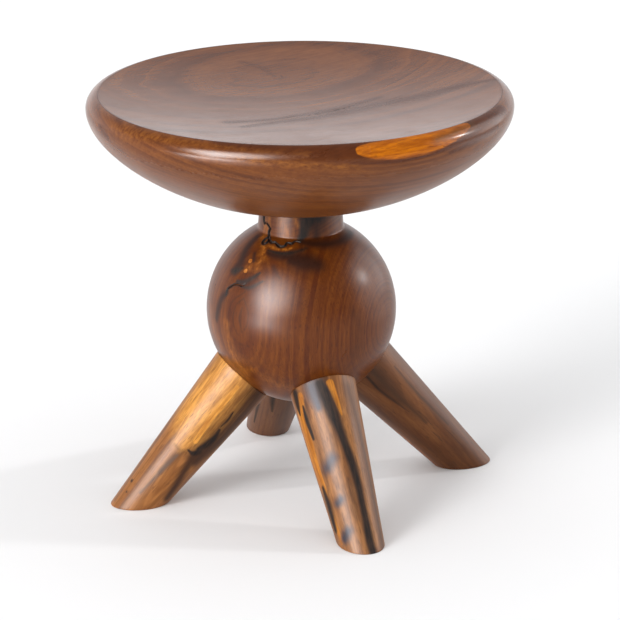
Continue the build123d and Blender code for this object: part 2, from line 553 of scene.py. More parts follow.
class TimberGroups:
    """The shader node groups that every timber shares, each built once."""

    def __init__(self) -> None:
        """Builds the groups."""
        self.grain = self.build_grain()
        self.mark = self.build_mark()
        self.polish = self.build_polish()

    @staticmethod
    def build_grain() -> bpy.types.NodeTree:
        """Solid timber round a pith that runs along Z.

        The ring distance is the length of (x, y, z / run) after a warp by two sizes of noise. Noise
        along that one distance makes bands of uneven width, and finer noise makes the thin lines.
        Noise drawn out along Z makes fibres and pores; it has a vector of its own, since the fibres of
        burl run another way than its rings.

        Returns:
            The group, with Bands, Lines, Fibre, Pores, Flecks, Mottle and Height outputs.
        """
        group, sheet, given, leave = new_group(
            "solid_timber",
            (
                ("Vector", "Vector", 0.0),
                ("Fibre Vector", "Vector", 0.0),
                ("Band Width", "Float", 0.02),
                ("Warp", "Float", 0.012),
                ("Run", "Float", 5.0),
                ("Seed", "Float", 0.0),
            ),
            ("Bands", "Lines", "Fibre", "Pores", "Flecks", "Mottle", "Height"),
        )

        def solid_noise(kind: Noise, vector: Socket) -> bpy.types.Node:
            """A noise over a vector, with the block's own seed."""
            return sheet.noise(kind, "4D", Vector=vector, W=sheet.math("ADD", given["Seed"], kind.seed))

        def drawn_noise(kind: Noise) -> Socket:
            """A noise drawn out along the fibres."""
            short = sheet.vector("MULTIPLY", given["Fibre Vector"], (1.0, 1.0, kind.drawn))
            return solid_noise(kind, short).outputs["Fac"]

        def drift(kind: Noise, vector: Socket, reach: Socket) -> Socket:
            """Moves a vector about: vector + (noise colour - 0.5) * reach.

            Args:
                kind: the noise.
                vector: what is moved.
                reach: how far.

            Returns:
                The moved vector.
            """
            centred = sheet.vector("SUBTRACT", solid_noise(kind, vector).outputs["Color"], (0.5, 0.5, 0.5))
            moved = sheet.add("VectorMath", {0: centred, "Scale": reach}, operation="SCALE")
            return sheet.vector("ADD", vector, moved.outputs["Vector"])

        shrink = sheet.add("CombineXYZ", {"X": 1.0, "Y": 1.0, "Z": sheet.math("DIVIDE", 1.0, given["Run"])})
        squeezed = sheet.vector("MULTIPLY", given["Vector"], shrink.outputs["Vector"])
        broad = drift(BROAD_WARP, squeezed, sheet.math("MULTIPLY", given["Warp"], BROAD_WARP_REACH))
        distance = sheet.measure("LENGTH", drift(FINE_WARP, broad, given["Warp"]))
        rings = sheet.math("DIVIDE", distance, given["Band Width"])
        bands = sheet.noise(BANDS, "1D", W=sheet.math("ADD", rings, given["Seed"]))
        crisp = sheet.noise(LINES, "1D", W=sheet.math("ADD", rings, LINES.seed))
        fade = sheet.step(solid_noise(LINE_FADE, squeezed).outputs["Fac"], *LINE_FADE_EDGES)
        swing = sheet.swing(crisp.outputs["Fac"], sheet.math("ADD", fade, LINE_FLOOR))
        fibre = drawn_noise(FIBRE)
        pores = sheet.step(drawn_noise(PORES), *PORE_EDGES)
        raised = sheet.math("MULTIPLY", fibre, FIBRE_RELIEF)
        sunk = sheet.math("MULTIPLY", pores, PORE_RELIEF)
        for name, socket in (
            ("Bands", bands.outputs["Fac"]),
            ("Lines", sheet.math("ADD", swing, 0.5)),
            ("Fibre", fibre),
            ("Pores", pores),
            ("Flecks", drawn_noise(FLECKS)),
            ("Mottle", solid_noise(MOTTLE, squeezed).outputs["Fac"]),
            ("Height", sheet.math("SUBTRACT", raised, sunk)),
        ):
            sheet.feed(leave[name], socket)
        return group

    @staticmethod
    def build_mark() -> bpy.types.NodeTree:
        """Turns a mark's membership into a mask with a ragged, soft edge.

        Returns:
            The group: a smooth step of membership + raggedness * (noise - 0.5), over the softness.
        """
        group, sheet, given, leave = new_group(
            "mark_edge",
            (
                ("Membership", "Float", 0.0),
                ("Noise", "Float", 0.5),
                ("Raggedness", "Float", 1.0),
                ("Softness", "Float", 0.3),
            ),
            ("Mask",),
        )
        level = sheet.math("ADD", given["Membership"], sheet.swing(given["Noise"], given["Raggedness"]))
        low = sheet.math("MULTIPLY", given["Softness"], -1.0)
        sheet.feed(leave["Mask"], sheet.step(level, low, given["Softness"]))
        return group

    @staticmethod
    def build_polish() -> bpy.types.NodeTree:
        """Hand polish: faint waves left by sanding, and sheen that varies from place to place.

        Returns:
            The group, with a Roughness output within about Variation of the given one, and a Height
            output for a bump.
        """
        group, sheet, given, leave = new_group(
            "hand_polish",
            (("Vector", "Vector", 0.0), ("Roughness", "Float", 0.35), ("Variation", "Float", 0.08)),
            ("Roughness", "Height"),
        )
        cloud = sheet.noise(SHEEN_CLOUD, "3D", Vector=given["Vector"])
        waves = sheet.noise(SANDING_WAVES, "3D", Vector=given["Vector"])
        swing = sheet.math("MULTIPLY", sheet.swing(cloud.outputs["Fac"], given["Variation"]), FULL_SWING)
        sheet.feed(leave["Roughness"], sheet.math("ADD", given["Roughness"], swing))
        sheet.feed(leave["Height"], waves.outputs["Fac"])
        return group


# --------------------------------------------------------------------------------------------------
# Timbers
# --------------------------------------------------------------------------------------------------


@dataclass(frozen=True)
class Palette:
    """The colours of one block of timber.

    Args:
        dark, body, light: its growth bands.
        umber: soft brown, for dark wood and in a few places for painted shade.
        honey: mottled golden zone, deep and bright, for the wood's own and in a few places for painted
            light.
        amber: orange sapwood, deep and bright.
        slate: blue-grey stain.
        ink: near-black streak, its darkest and where it thins.
    """

    dark: Colour
    body: Colour
    light: Colour
    umber: Colour = (0.045, 0.014, 0.004)
    honey: Pair = ((0.130, 0.035, 0.004), (0.300, 0.095, 0.012))
    amber: Pair = ((0.270, 0.065, 0.001), (0.450, 0.125, 0.002))
    slate: Colour = (0.060, 0.046, 0.048)
    ink: Pair = ((0.007, 0.005, 0.005), (0.032, 0.014, 0.007))


SEAT_PALETTE = Palette(
    dark=(0.094, 0.025, 0.005),
    body=(0.145, 0.042, 0.008),
    light=(0.182, 0.057, 0.011),
    umber=(0.080, 0.019, 0.003),
    honey=((0.130, 0.036, 0.005), (0.205, 0.066, 0.009)),
    amber=((0.330, 0.082, 0.000), (0.440, 0.122, 0.000)),
    slate=(0.090, 0.040, 0.016),
)
BALL_PALETTE = Palette(
    dark=(0.082, 0.017, 0.002),
    body=(0.106, 0.025, 0.002),
    light=(0.134, 0.035, 0.003),
    umber=(0.030, 0.008, 0.003),
    honey=((0.150, 0.040, 0.004), (0.360, 0.120, 0.016)),
    amber=((0.330, 0.100, 0.012), (0.520, 0.200, 0.035)),
    slate=(0.034, 0.022, 0.019),
)
PALE_LEG_PALETTE = Palette(
    dark=(0.150, 0.054, 0.014),
    body=(0.258, 0.098, 0.025),
    light=(0.324, 0.130, 0.036),
    umber=(0.052, 0.019, 0.007),
    honey=((0.430, 0.180, 0.030), (0.560, 0.255, 0.050)),
    amber=((0.480, 0.190, 0.026), (0.600, 0.270, 0.045)),
    slate=(0.110, 0.062, 0.040),
)
STRIPED_LEG_PALETTE = Palette(
    dark=(0.105, 0.040, 0.014),
    body=(0.205, 0.082, 0.027),
    light=(0.280, 0.118, 0.041),
    umber=(0.055, 0.022, 0.010),
    honey=((0.210, 0.084, 0.025), (0.310, 0.132, 0.040)),
    amber=((0.330, 0.110, 0.011), (0.440, 0.165, 0.020)),
    slate=(0.038, 0.033, 0.047),
)
BROWN_LEG_PALETTE = Palette(
    dark=(0.085, 0.028, 0.008),
    body=(0.130, 0.044, 0.012),
    light=(0.185, 0.068, 0.020),
    umber=(0.046, 0.019, 0.008),
)
PLAIN_LEG_PALETTE = Palette(
    dark=(0.085, 0.029, 0.009),
    body=(0.115, 0.040, 0.012),
    light=(0.145, 0.053, 0.016),
)

POLISH_IOR = 1.5
LINE_EDGES = (0.56, 0.38)  # the lines are dark where their noise is low
MOTTLE_EDGES = (0.42, 0.72)
MOTTLE_STRENGTH = 0.45
PORE_STRENGTH = 0.45
FIBRE_EDGES = (0.36, 0.64)
FIBRE_TONES = ((0.0, (0.84, 0.78, 0.73)), (1.0, (1.14, 1.14, 1.12)))  # what fibres multiply colour by
OPEN_GRAIN_ROUGHNESS = 0.10
WEAR_BELOW = 0.012  # wear sets in over this height below its line
WEAR_ABOVE = 0.008  # and this height above it
SANDING_BUMP = {"Strength": 0.25, "Distance": 0.0006}
GRAIN_BUMP = {"Strength": 0.35, "Distance": 0.00004}
DOWEL_BUMP = {"Strength": 0.5, "Distance": 0.0001}


@dataclass(frozen=True)
class Timber:
    """A polished, figured timber, and the block of it that a piece was turned from.

    Args:
        name: the material's name.
        pith: a point on the middle of the growth rings, in metres.
        grain: the direction that the pith runs in.
        palette: its colours.
        band_width: width of the growth bands, in metres.
        warp: how far the bands wander, in metres.
        run: how many times longer the figure is along the fibres than across them.
        seed: sets this block's own pattern.
        roughness: of the polish.
        worn_above: the height above which use has polished it further, in metres.
        worn_roughness: of the polish there.
        line_strength: how dark the thin growth lines are, from 0 to 1.
        mirroring: how much the polish mirrors seen square on; 0.5 is a full varnish, less is thin oil.
        fibres: the direction of the fibres, where it isn't the pith's.
    """

    name: str
    pith: Triple
    grain: Triple
    palette: Palette
    band_width: float = 0.020
    warp: float = 0.010
    run: float = 5.0
    seed: float = 0.0
    roughness: float = 0.42
    worn_above: float = 1.0
    worn_roughness: float = 0.24
    line_strength: float = 0.40
    mirroring: float = 0.25
    fibres: Triple | None = None

    def material(self, groups: TimberGroups) -> bpy.types.Material:
        """Builds the material.

        Args:
            groups: the shared node groups.

        Returns:
            A Principled material on Object coordinates, which also reads the marks' attributes.
        """
        material, sheet = blank_material(self.name)
        place = sheet.add("TexCoord").outputs["Object"]
        block = {"Band Width": self.band_width, "Warp": self.warp, "Run": self.run, "Seed": self.seed}
        grain = sheet.add("Group", block, node_tree=groups.grain)
        for socket, direction in (("Vector", self.grain), ("Fibre Vector", self.fibres or self.grain)):
            turn = upright(direction).to_matrix()
            offset = -(turn @ Vector(self.pith))
            turned = sheet.add("Mapping", {"Vector": place, "Location": offset, "Rotation": turn.to_euler()})
            sheet.feed(grain.inputs[socket], turned.outputs["Vector"])

        colour = self.plain_colour(sheet, grain)
        colour, sunk = self.marked_colour(sheet, groups, grain, colour)
        colour = self.fibre_colour(sheet, grain, colour)

        height = sheet.add("SeparateXYZ", {"Vector": place}).outputs["Z"]
        worn = sheet.step(height, self.worn_above - WEAR_BELOW, self.worn_above + WEAR_ABOVE)
        range_ends = {"Value": worn, "To Min": self.roughness, "To Max": self.worn_roughness}
        base = sheet.add("MapRange", range_ends).outputs["Result"]
        polish = sheet.add("Group", {"Vector": place, "Roughness": base}, node_tree=groups.polish)
        open_grain = sheet.swing(grain.outputs["Flecks"], OPEN_GRAIN_ROUGHNESS)
        rough = sheet.math("ADD", polish.outputs["Roughness"], sheet.math("ADD", sunk, open_grain))
        waves = sheet.add("Bump", {**SANDING_BUMP, "Height": polish.outputs["Height"]})
        bump = sheet.add(
            "Bump", {**GRAIN_BUMP, "Height": grain.outputs["Height"], "Normal": waves.outputs["Normal"]}
        )
        shader = sheet.add(
            "BsdfPrincipled",
            {
                "Base Color": colour,
                "Roughness": rough,
                "Normal": bump.outputs["Normal"],
                "IOR": POLISH_IOR,
                "Specular IOR Level": self.mirroring,
            },
        )
        sheet.add("OutputMaterial", {"Surface": shader.outputs[0]})
        return material

    def plain_colour(self, sheet: NodeSheet, grain: bpy.types.Node) -> Socket:
        """Colours the growth bands and lines, with cloudy lighter places.

        Args:
            sheet: the material's nodes.
            grain: the timber's grain.

        Returns:
            The colour.
        """
        tint = self.palette
        stops = ((0.32, tint.dark), (0.48, tint.body), (0.60, tint.light), (0.72, tint.body))
        colour = sheet.ramp(grain.outputs["Bands"], *stops)
        lines = sheet.step(grain.outputs["Lines"], *LINE_EDGES)
        colour = sheet.mix(sheet.math("MULTIPLY", lines, self.line_strength), colour, opaque(tint.dark))
        mottle = sheet.step(grain.outputs["Mottle"], *MOTTLE_EDGES)
        return sheet.mix(sheet.math("MULTIPLY", mottle, MOTTLE_STRENGTH), colour, opaque(tint.light))

    def marked_colour(
        self, sheet: NodeSheet, groups: TimberGroups, grain: bpy.types.Node, colour: Socket
    ) -> tuple[Socket, Socket]:
        """Lays the marks over a colour.

        Args:
            sheet: the material's nodes.
            groups: the shared node groups.
            grain: the timber's grain.
            colour: the colour without marks.

        Returns:
            The colour with its marks, and the roughness that they add.
        """
        tint = self.palette
        fibre = self.mean(sheet, grain, "Fibre", "Flecks")
        torn = self.mean(sheet, grain, "Fibre", "Mottle")
        honey = sheet.ramp(grain.outputs["Flecks"], (0.38, tint.honey[0]), (0.60, tint.honey[1]))
        amber = sheet.ramp(fibre, (0.40, tint.amber[0]), (0.58, tint.amber[1]))
        ink = sheet.ramp(fibre, (0.42, tint.ink[0]), (0.62, tint.ink[1]))
        sunk = 0.0
        # Each kind of mark: its colour, how ragged and how soft its edge is, and the roughness it adds
        for kind, shade, ragged, soft, dulled in (
            (Figure.UMBER, opaque(tint.umber), 1.3, 0.75, 0.08),
            (Figure.HONEY, honey, 1.2, 0.75, 0.0),
            (Figure.AMBER, amber, 0.8, 0.12, 0.0),
            (Figure.SLATE, opaque(tint.slate), 1.5, 0.70, 0.0),
            (Figure.INK, ink, 1.8, 0.55, 0.16),
            (Figure.CRACK, opaque(tint.ink[0]), 0.5, 0.60, 0.55),
        ):
            held = sheet.add("Attribute", attribute_name=kind.value, attribute_type="GEOMETRY")
            edge = {"Noise": torn, "Raggedness": ragged, "Softness": soft}
            edge["Membership"] = held.outputs["Fac"]
            mask = sheet.add("Group", edge, node_tree=groups.mark).outputs["Mask"]
            colour = sheet.mix(mask, colour, shade)
            if dulled:
                sunk = sheet.math("ADD", sheet.math("MULTIPLY", mask, dulled), sunk)
        return colour, sunk

    def fibre_colour(self, sheet: NodeSheet, grain: bpy.types.Node, colour: Socket) -> Socket:
        """Lays fine fibres, flecks and pores over a colour.

        Args:
            sheet: the material's nodes.
            grain: the timber's grain.
            colour: the colour without them.

        Returns:
            The colour with them.
        """
        fibre = self.mean(sheet, grain, "Fibre", "Flecks")
        tone = sheet.ramp(sheet.step(fibre, *FIBRE_EDGES), *FIBRE_TONES)
        colour = sheet.mix(1.0, colour, tone, "MULTIPLY")
        pores = sheet.math("MULTIPLY", grain.outputs["Pores"], PORE_STRENGTH)
        return sheet.mix(pores, colour, opaque(self.palette.umber))

    @staticmethod
    def mean(sheet: NodeSheet, grain: bpy.types.Node, first: str, second: str) -> Socket:
        """The mean of two of the grain's outputs."""
        return sheet.math("MULTIPLY", sheet.math("ADD", grain.outputs[first], grain.outputs[second]), 0.5)


@dataclass(frozen=True)
class BareWood:
    """Plain planed wood, for the dowels hidden in the joints."""

    name: str = "bare_dowel_wood"
    light: Colour = (0.520, 0.340, 0.180)
    dark: Colour = (0.360, 0.210, 0.100)
    roughness: float = 0.62
    band_width: float = 0.006

    def material(self, groups: TimberGroups, fibres: Triple) -> bpy.types.Material:
        """Builds the material.

        Args:
            groups: the shared node groups.
            fibres: the direction of the fibres.

        Returns:
            A Principled material on Object coordinates.
        """
        material, sheet = blank_material(self.name)
        place = sheet.add("TexCoord").outputs["Object"]
        turned = sheet.add("Mapping", {"Vector": place, "Rotation": upright(fibres).to_euler()})
        along = turned.outputs["Vector"]
        block = {"Vector": along, "Fibre Vector": along, "Band Width": self.band_width}
        grain = sheet.add("Group", block, node_tree=groups.grain)
        colour = sheet.ramp(grain.outputs["Bands"], (0.35, self.dark), (0.60, self.light))
        bump = sheet.add("Bump", {**DOWEL_BUMP, "Height": grain.outputs["Height"]})
        shader = sheet.add(
            "BsdfPrincipled",
            {"Base Color": colour, "Roughness": self.roughness, "Normal": bump.outputs["Normal"]},
        )
        sheet.add("OutputMaterial", {"Surface": shader.outputs[0]})
        return material


# --------------------------------------------------------------------------------------------------
# Pieces
# --------------------------------------------------------------------------------------------------

LAND_HEIGHT = 0.317  # where the neck meets the seat
LAND_MARGIN = 0.004
SOCKET_RADIUS = 0.0181  # for the dowel between neck and seat
SOCKET_DEPTH = 0.045
NECK_TOP_RADIUS = 0.0414
BALL_RADIUS = 0.0977
BALL_CENTRE_HEIGHT = 0.199
DISH = 10.0  # added to y in a mark that lies in the dish, which tells it from one on the outside


@dataclass
class TurnedPiece:
    """A piece of wood turned on a lathe, dressed with marks and timber.

    Args:
        node: the frame's node that it stands for.
        slot: the name of a material slot, which is not used.
        timber: the wood that it was turned from.
        marks: the marks in that wood.
    """

    node: str
    timber: Timber
    slot: str
    marks: tuple[Mark, ...] = ()

    def surface(self, across: Array, along: Array) -> Array:
        """Points on the surface at the piece's own surface coordinates, one in each row."""
        raise NotImplementedError

    def skin(self, name: str) -> bpy.types.Object:
        """Builds the piece's mesh under a name."""
        raise NotImplementedError

    def figure(self, vertices: Array, kind: Figure) -> Array:
        """Membership of every vertex in this piece's marks of one kind.

        Args:
            vertices: points of the mesh, one in each row.
            kind: the kind of mark.

        Returns:
            One value for each vertex, the largest over the marks.
        """
        value = np.full(len(vertices), NO_MARK)
        for mark in self.marks:
            if mark.kind is kind:
                rows = smooth_path(np.array(mark.points))
                middle = self.surface(rows[:, 0], rows[:, 1])
                depth = membership(vertices, middle, np.maximum(rows[:, 2], LEAST_HALF_WIDTH))
                value = np.maximum(value, depth + mark.strength - 1.0)
        return value

    def build(self) -> bpy.types.Object:
        """Builds the mesh, stores the marks on it, and puts it in the frame in the node's place.

        Returns:
            The piece's object.
        """
        piece = self.skin(self.node + "_wood")
        vertices = mesh_points(piece)
        for kind in Figure:
            write_attribute(piece, kind.value, self.figure(vertices, kind))
        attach(piece, BODY)
        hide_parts(self.node)
        return piece

    def dress(self, piece: bpy.types.Object, groups: TimberGroups) -> None:
        """Gives the mesh its timber."""
        piece.data.materials.append(self.timber.material(groups))
        log.info("%s: %d vertices, %d marks", piece.name, len(piece.data.vertices), len(self.marks))


@dataclass
class Seat(TurnedPiece):
    """The seat: a shallow dish, a crisp edge, a soft rim and a full belly over a flat land."""

    height: float = 0.430
    dish_depth: float = 0.014
    arris_radius: float = 0.0015
    rim_radius: float = 0.216
    rim_width: float = 0.0125
    rim_drop: float = 0.0145
    belly_handle: float = 0.039
    underside_handle: float = 0.072
    columns: int = 360

    def __post_init__(self) -> None:
        """Works out the arcs of the profile and the outside's running length."""
        edge = self.rim_radius - self.rim_width
        self.dish_radius = (edge**2 + self.dish_depth**2) / (2 * self.dish_depth)
        self.dish_centre = (0.0, self.height - self.dish_depth + self.dish_radius)
        self.rim_arc_radius = (self.rim_width**2 + self.rim_drop**2) / (2 * self.rim_width)
        self.rim_centre = (self.rim_radius - self.rim_arc_radius, self.height - self.rim_drop)
        self.arris_centre = self.find_arris()
        self.outside = np.vstack([self.rim_profile(), self.belly_profile()[1:]])
        steps = np.linalg.norm(np.diff(self.outside, axis=0), axis=1)
        self.outside_length = np.concatenate([[0.0], np.cumsum(steps)])

    def find_arris(self) -> Point:
        """Finds the centre of the arc that rounds the dish's edge.

        It lies one arris radius inside the wood from both the dish's arc and the rim's arc, so it is
        where two circles round those arcs' centres cross.

        Returns:
            The centre.
        """
        far = self.dish_radius + self.arris_radius
        near = self.rim_arc_radius - self.arris_radius
        start, end = np.array(self.rim_centre), np.array(self.dish_centre)
        gap = np.linalg.norm(end - start)
        unit = (end - start) / gap
        along = (near**2 - far**2 + gap**2) / (2 * gap)
        aside = math.sqrt(near**2 - along**2)
        crossing = start + along * unit + aside * np.array([unit[1], -unit[0]])
        return (float(crossing[0]), float(crossing[1]))

    def dish_profile(self, count: int = 70) -> Array:
        """The dish, from just off its middle to where the rounded edge begins."""
        end = angle_to(self.dish_centre, self.arris_centre)
        return arc(self.dish_centre, self.dish_radius, -90.0, end, count)[1:]

    def arris_profile(self, count: int = 7) -> Array:
        """The rounded edge, between the dish and the rim.

        Args:
            count: number of points.

        Returns:
            One point in each row.
        """
        start = angle_to(self.arris_centre, self.dish_centre)
        end = angle_to(self.rim_centre, self.arris_centre)
        return arc(self.arris_centre, self.arris_radius, start, end, count)

    def rim_profile(self, count: int = 18) -> Array:
        """The rim, from the rounded edge to its widest part."""
        start = angle_to(self.rim_centre, self.arris_centre)
        return arc(self.rim_centre, self.rim_arc_radius, start, 0.0, count)

    def belly_profile(self, count: int = 90) -> Array:
        """The belly, from the widest part in to the land.

        It is the cubic curve (1-t)^3 a + 3t(1-t)^2 b + 3t^2(1-t) c + t^3 d.

        Args:
            count: number of points.

        Returns:
            One point in each row.
        """
        t = np.linspace(0.0, 1.0, count)[:, None]
        widest = self.height - self.rim_drop
        land = NECK_TOP_RADIUS + LAND_MARGIN
        a = np.array([self.rim_radius, widest])
        b = np.array([self.rim_radius, widest - self.belly_handle])
        c = np.array([land + self.underside_handle, LAND_HEIGHT])
        d = np.array([land, LAND_HEIGHT])
        return (1 - t) ** 3 * a + 3 * t * (1 - t) ** 2 * b + 3 * t**2 * (1 - t) * c + t**3 * d

    def surface(self, across: Array, along: Array) -> Array:
        """Points on the outside or in the dish.

        Args:
            across: azimuth in degrees on the outside, x in metres in the dish.
            along: length down the outside from the dish's edge in metres, or y in the dish plus
                DISH, which tells the two apart.

        Returns:
            One point in each row.
        """
        in_dish = along > DISH / 2
        y = np.where(in_dish, along - DISH, 0.0)
        x = np.where(in_dish, across, 0.0)
        depth = self.dish_centre[1] - np.sqrt(self.dish_radius**2 - x**2 - y**2)
        radius = np.interp(along, self.outside_length, self.outside[:, 0])
        height = np.interp(along, self.outside_length, self.outside[:, 1])
        azimuth = np.radians(across)
        side = np.column_stack([radius * np.cos(azimuth), radius * np.sin(azimuth), height])
        return np.where(in_dish[:, None], np.column_stack([x, y, depth]), side)

    def skin(self, name: str) -> bpy.types.Object:
        """Turns the whole profile, with the dowel's socket in the land.

        Args:
            name: the piece's name.

        Returns:
            The piece's object.
        """
        ceiling = LAND_HEIGHT + SOCKET_DEPTH
        land = NECK_TOP_RADIUS + LAND_MARGIN
        profile = np.vstack(
            [
                self.dish_profile(),
                self.arris_profile()[1:],
                self.rim_profile()[1:],
                self.belly_profile()[1:],
                line((land, LAND_HEIGHT), (SOCKET_RADIUS, LAND_HEIGHT), 5)[1:],
                line((SOCKET_RADIUS, LAND_HEIGHT), (SOCKET_RADIUS, ceiling), 5)[1:],
                line((SOCKET_RADIUS, ceiling), (0.0, ceiling), 4)[1:-1],
            ]
        )
        azimuths = np.linspace(0.0, 2 * math.pi, self.columns, endpoint=False)
        middle = np.array([0.0, 0.0, self.height - self.dish_depth])
        return closed_skin(name, revolve(profile, azimuths), middle, np.array([0.0, 0.0, ceiling]))


@dataclass
class BallAndNeck(TurnedPiece):
    """The ball and its neck, one turning, with cracks that open into the surface."""

    neck_base_radius: float = 0.044
    cove_radius: float = 0.003
    neck_rows: int = 58
    cove_rows: int = 9
    ball_rows: int = 215
    foot_angle: float = -89.3  # of the last row before the ball's lowest point, in degrees
    columns: int = 280
    crack_azimuths: tuple[float, float] = (234.0, 300.0)  # the mesh is crowded between these
    crack_heights: tuple[float, float] = (0.228, 0.288)
    crowding_gap: float = 0.01  # degrees that the crowded stretch keeps from the cove
    columns_in_cracks: float = 0.74  # the share of them that the crowded stretch holds
    rows_in_cracks: float = 0.76
    crack_depth: float = 0.0035
    crack_power: float = 1.2  # above 1, so that a crack's lips stay soft and its floor is sharp

    def __post_init__(self) -> None:
        """Works out the neck's base and the cove between neck and ball."""
        self.neck_base_height = BALL_CENTRE_HEIGHT + math.sqrt(BALL_RADIUS**2 - self.neck_base_radius**2)
        self.lean = (NECK_TOP_RADIUS - self.neck_base_radius) / (LAND_HEIGHT - self.neck_base_height)
        self.cove_centre = self.find_cove()

    def find_cove(self) -> Point:
        """Finds the cove's centre, one cove radius outside the ball and the neck's sloping side.

        With the radius at height z equal to base + lean z, the height solves
        (base + lean z)^2 + (z - ball centre height)^2 = (ball radius + cove radius)^2, taking the
        higher place.

        Returns:
            The centre.
        """
        reach = BALL_RADIUS + self.cove_radius
        shift = self.cove_radius * math.sqrt(1 + self.lean**2)
        base = self.neck_base_radius + shift - self.lean * self.neck_base_height
        a = 1 + self.lean**2
        b = 2 * (base * self.lean - BALL_CENTRE_HEIGHT)
        c = base**2 + BALL_CENTRE_HEIGHT**2 - reach**2
        height = (-b + math.sqrt(b**2 - 4 * a * c)) / (2 * a)
        return (base + self.lean * height, height)

    def ball_profile(self, start: float) -> Array:
        """The ball's outline, with its rows crowded at the height of the cracks.

        Args:
            start: angle where the cove ends, in degrees above the ball's middle.

        Returns:
            One point in each row, from the cove down to just off the lowest point.
        """
        low, high = (
            math.degrees(math.asin((height - BALL_CENTRE_HEIGHT) / BALL_RADIUS))
            for height in self.crack_heights
        )
        high = min(high, start - self.crowding_gap)
        angles = crowded(self.foot_angle, start, self.ball_rows, low, high, self.rows_in_cracks)
        places = np.radians(angles[::-1])
        outline = [BALL_RADIUS * np.cos(places), BALL_CENTRE_HEIGHT + BALL_RADIUS * np.sin(places)]
        return np.column_stack(outline)

    def profile(self) -> Array:
        """The turned outline from the socket's floor, over the neck and down to the ball's foot.

        Returns:
            One point in each row.
        """
        floor = LAND_HEIGHT - SOCKET_DEPTH
        side = math.degrees(math.atan(self.lean))
        ball_start = angle_to((0.0, BALL_CENTRE_HEIGHT), self.cove_centre)
        cove = arc(self.cove_centre, self.cove_radius, 180.0 + side, 180.0 + ball_start, self.cove_rows)
        return np.vstack(
            [
                line((0.0, floor), (SOCKET_RADIUS, floor), 4)[1:],
                line((SOCKET_RADIUS, floor), (SOCKET_RADIUS, LAND_HEIGHT), 5)[1:],
                line((SOCKET_RADIUS, LAND_HEIGHT), (NECK_TOP_RADIUS, LAND_HEIGHT), 6)[1:],
                line((NECK_TOP_RADIUS, LAND_HEIGHT), tuple(cove[0]), self.neck_rows)[1:],
                cove[1:],
                self.ball_profile(ball_start)[1:],
            ]
        )

    def surface(self, across: Array, along: Array) -> Array:
        """Points on the neck or on the ball.

        Args:
            across: azimuth in degrees.
            along: height in metres.

        Returns:
            One point in each row.
        """
        on_neck = NECK_TOP_RADIUS + self.lean * (along - LAND_HEIGHT)
        on_ball = np.sqrt(np.maximum(BALL_RADIUS**2 - (along - BALL_CENTRE_HEIGHT) ** 2, 0.0))
        radius = np.where(along > self.neck_base_height, on_neck, on_ball)
        azimuth = np.radians(across)
        return np.column_stack([radius * np.cos(azimuth), radius * np.sin(azimuth), along])

    def skin(self, name: str) -> bpy.types.Object:
        """Turns the outline, then presses the cracks in.

        Every point moves inwards by crack depth * membership ^ crack power, towards the axis on the
        neck and towards the ball's centre on the ball.

        Args:
            name: the piece's name.

        Returns:
            The piece's object.
        """
        low, high = (math.radians(azimuth) for azimuth in self.crack_azimuths)
        azimuths = crowded(0.0, 2 * math.pi, self.columns + 1, low, high, self.columns_in_cracks)[:-1]
        rings = revolve(self.profile(), azimuths)
        floor = np.array([0.0, 0.0, LAND_HEIGHT - SOCKET_DEPTH])
        foot = np.array([0.0, 0.0, BALL_CENTRE_HEIGHT - BALL_RADIUS])
        flat = rings.reshape(-1, 3)
        inside = np.clip(self.figure(flat, Figure.CRACK), 0.0, 1.0)
        outward = flat - np.array([0.0, 0.0, BALL_CENTRE_HEIGHT])
        outward[:, 2] = np.where(flat[:, 2] > self.neck_base_height, 0.0, outward[:, 2])
        outward /= np.linalg.norm(outward, axis=1)[:, None]
        pressed = flat - outward * (self.crack_depth * inside**self.crack_power)[:, None]
        return closed_skin(name, pressed.reshape(rings.shape), floor, foot)


def leg_axis(compass: float, lean: float) -> Array:
    """Finds the direction of a leg.

    Args:
        compass: azimuth c that it points to, in degrees.
        lean: angle l away from plumb, in degrees.

    Returns:
        The unit vector outwards and down: (sin l cos c, sin l sin c, -cos l).
    """
    level = math.sin(math.radians(lean))
    east, north = math.cos(math.radians(compass)), math.sin(math.radians(compass))
    return np.array([level * east, level * north, -math.cos(math.radians(lean))])


def between(start: Array, end: Array, first: float, last: float, count: int) -> Array:
    """Rings between two rings of points: start + s * (end - start) for s from first to last.

    Args:
        start: a ring of points, or one point.
        end: another.
        first: s at the first ring.
        last: s at the last ring.
        count: number of rings.

    Returns:
        Points as (ring, place round it, xyz).
    """
    return start + np.linspace(first, last, count)[:, None, None] * (end - start)


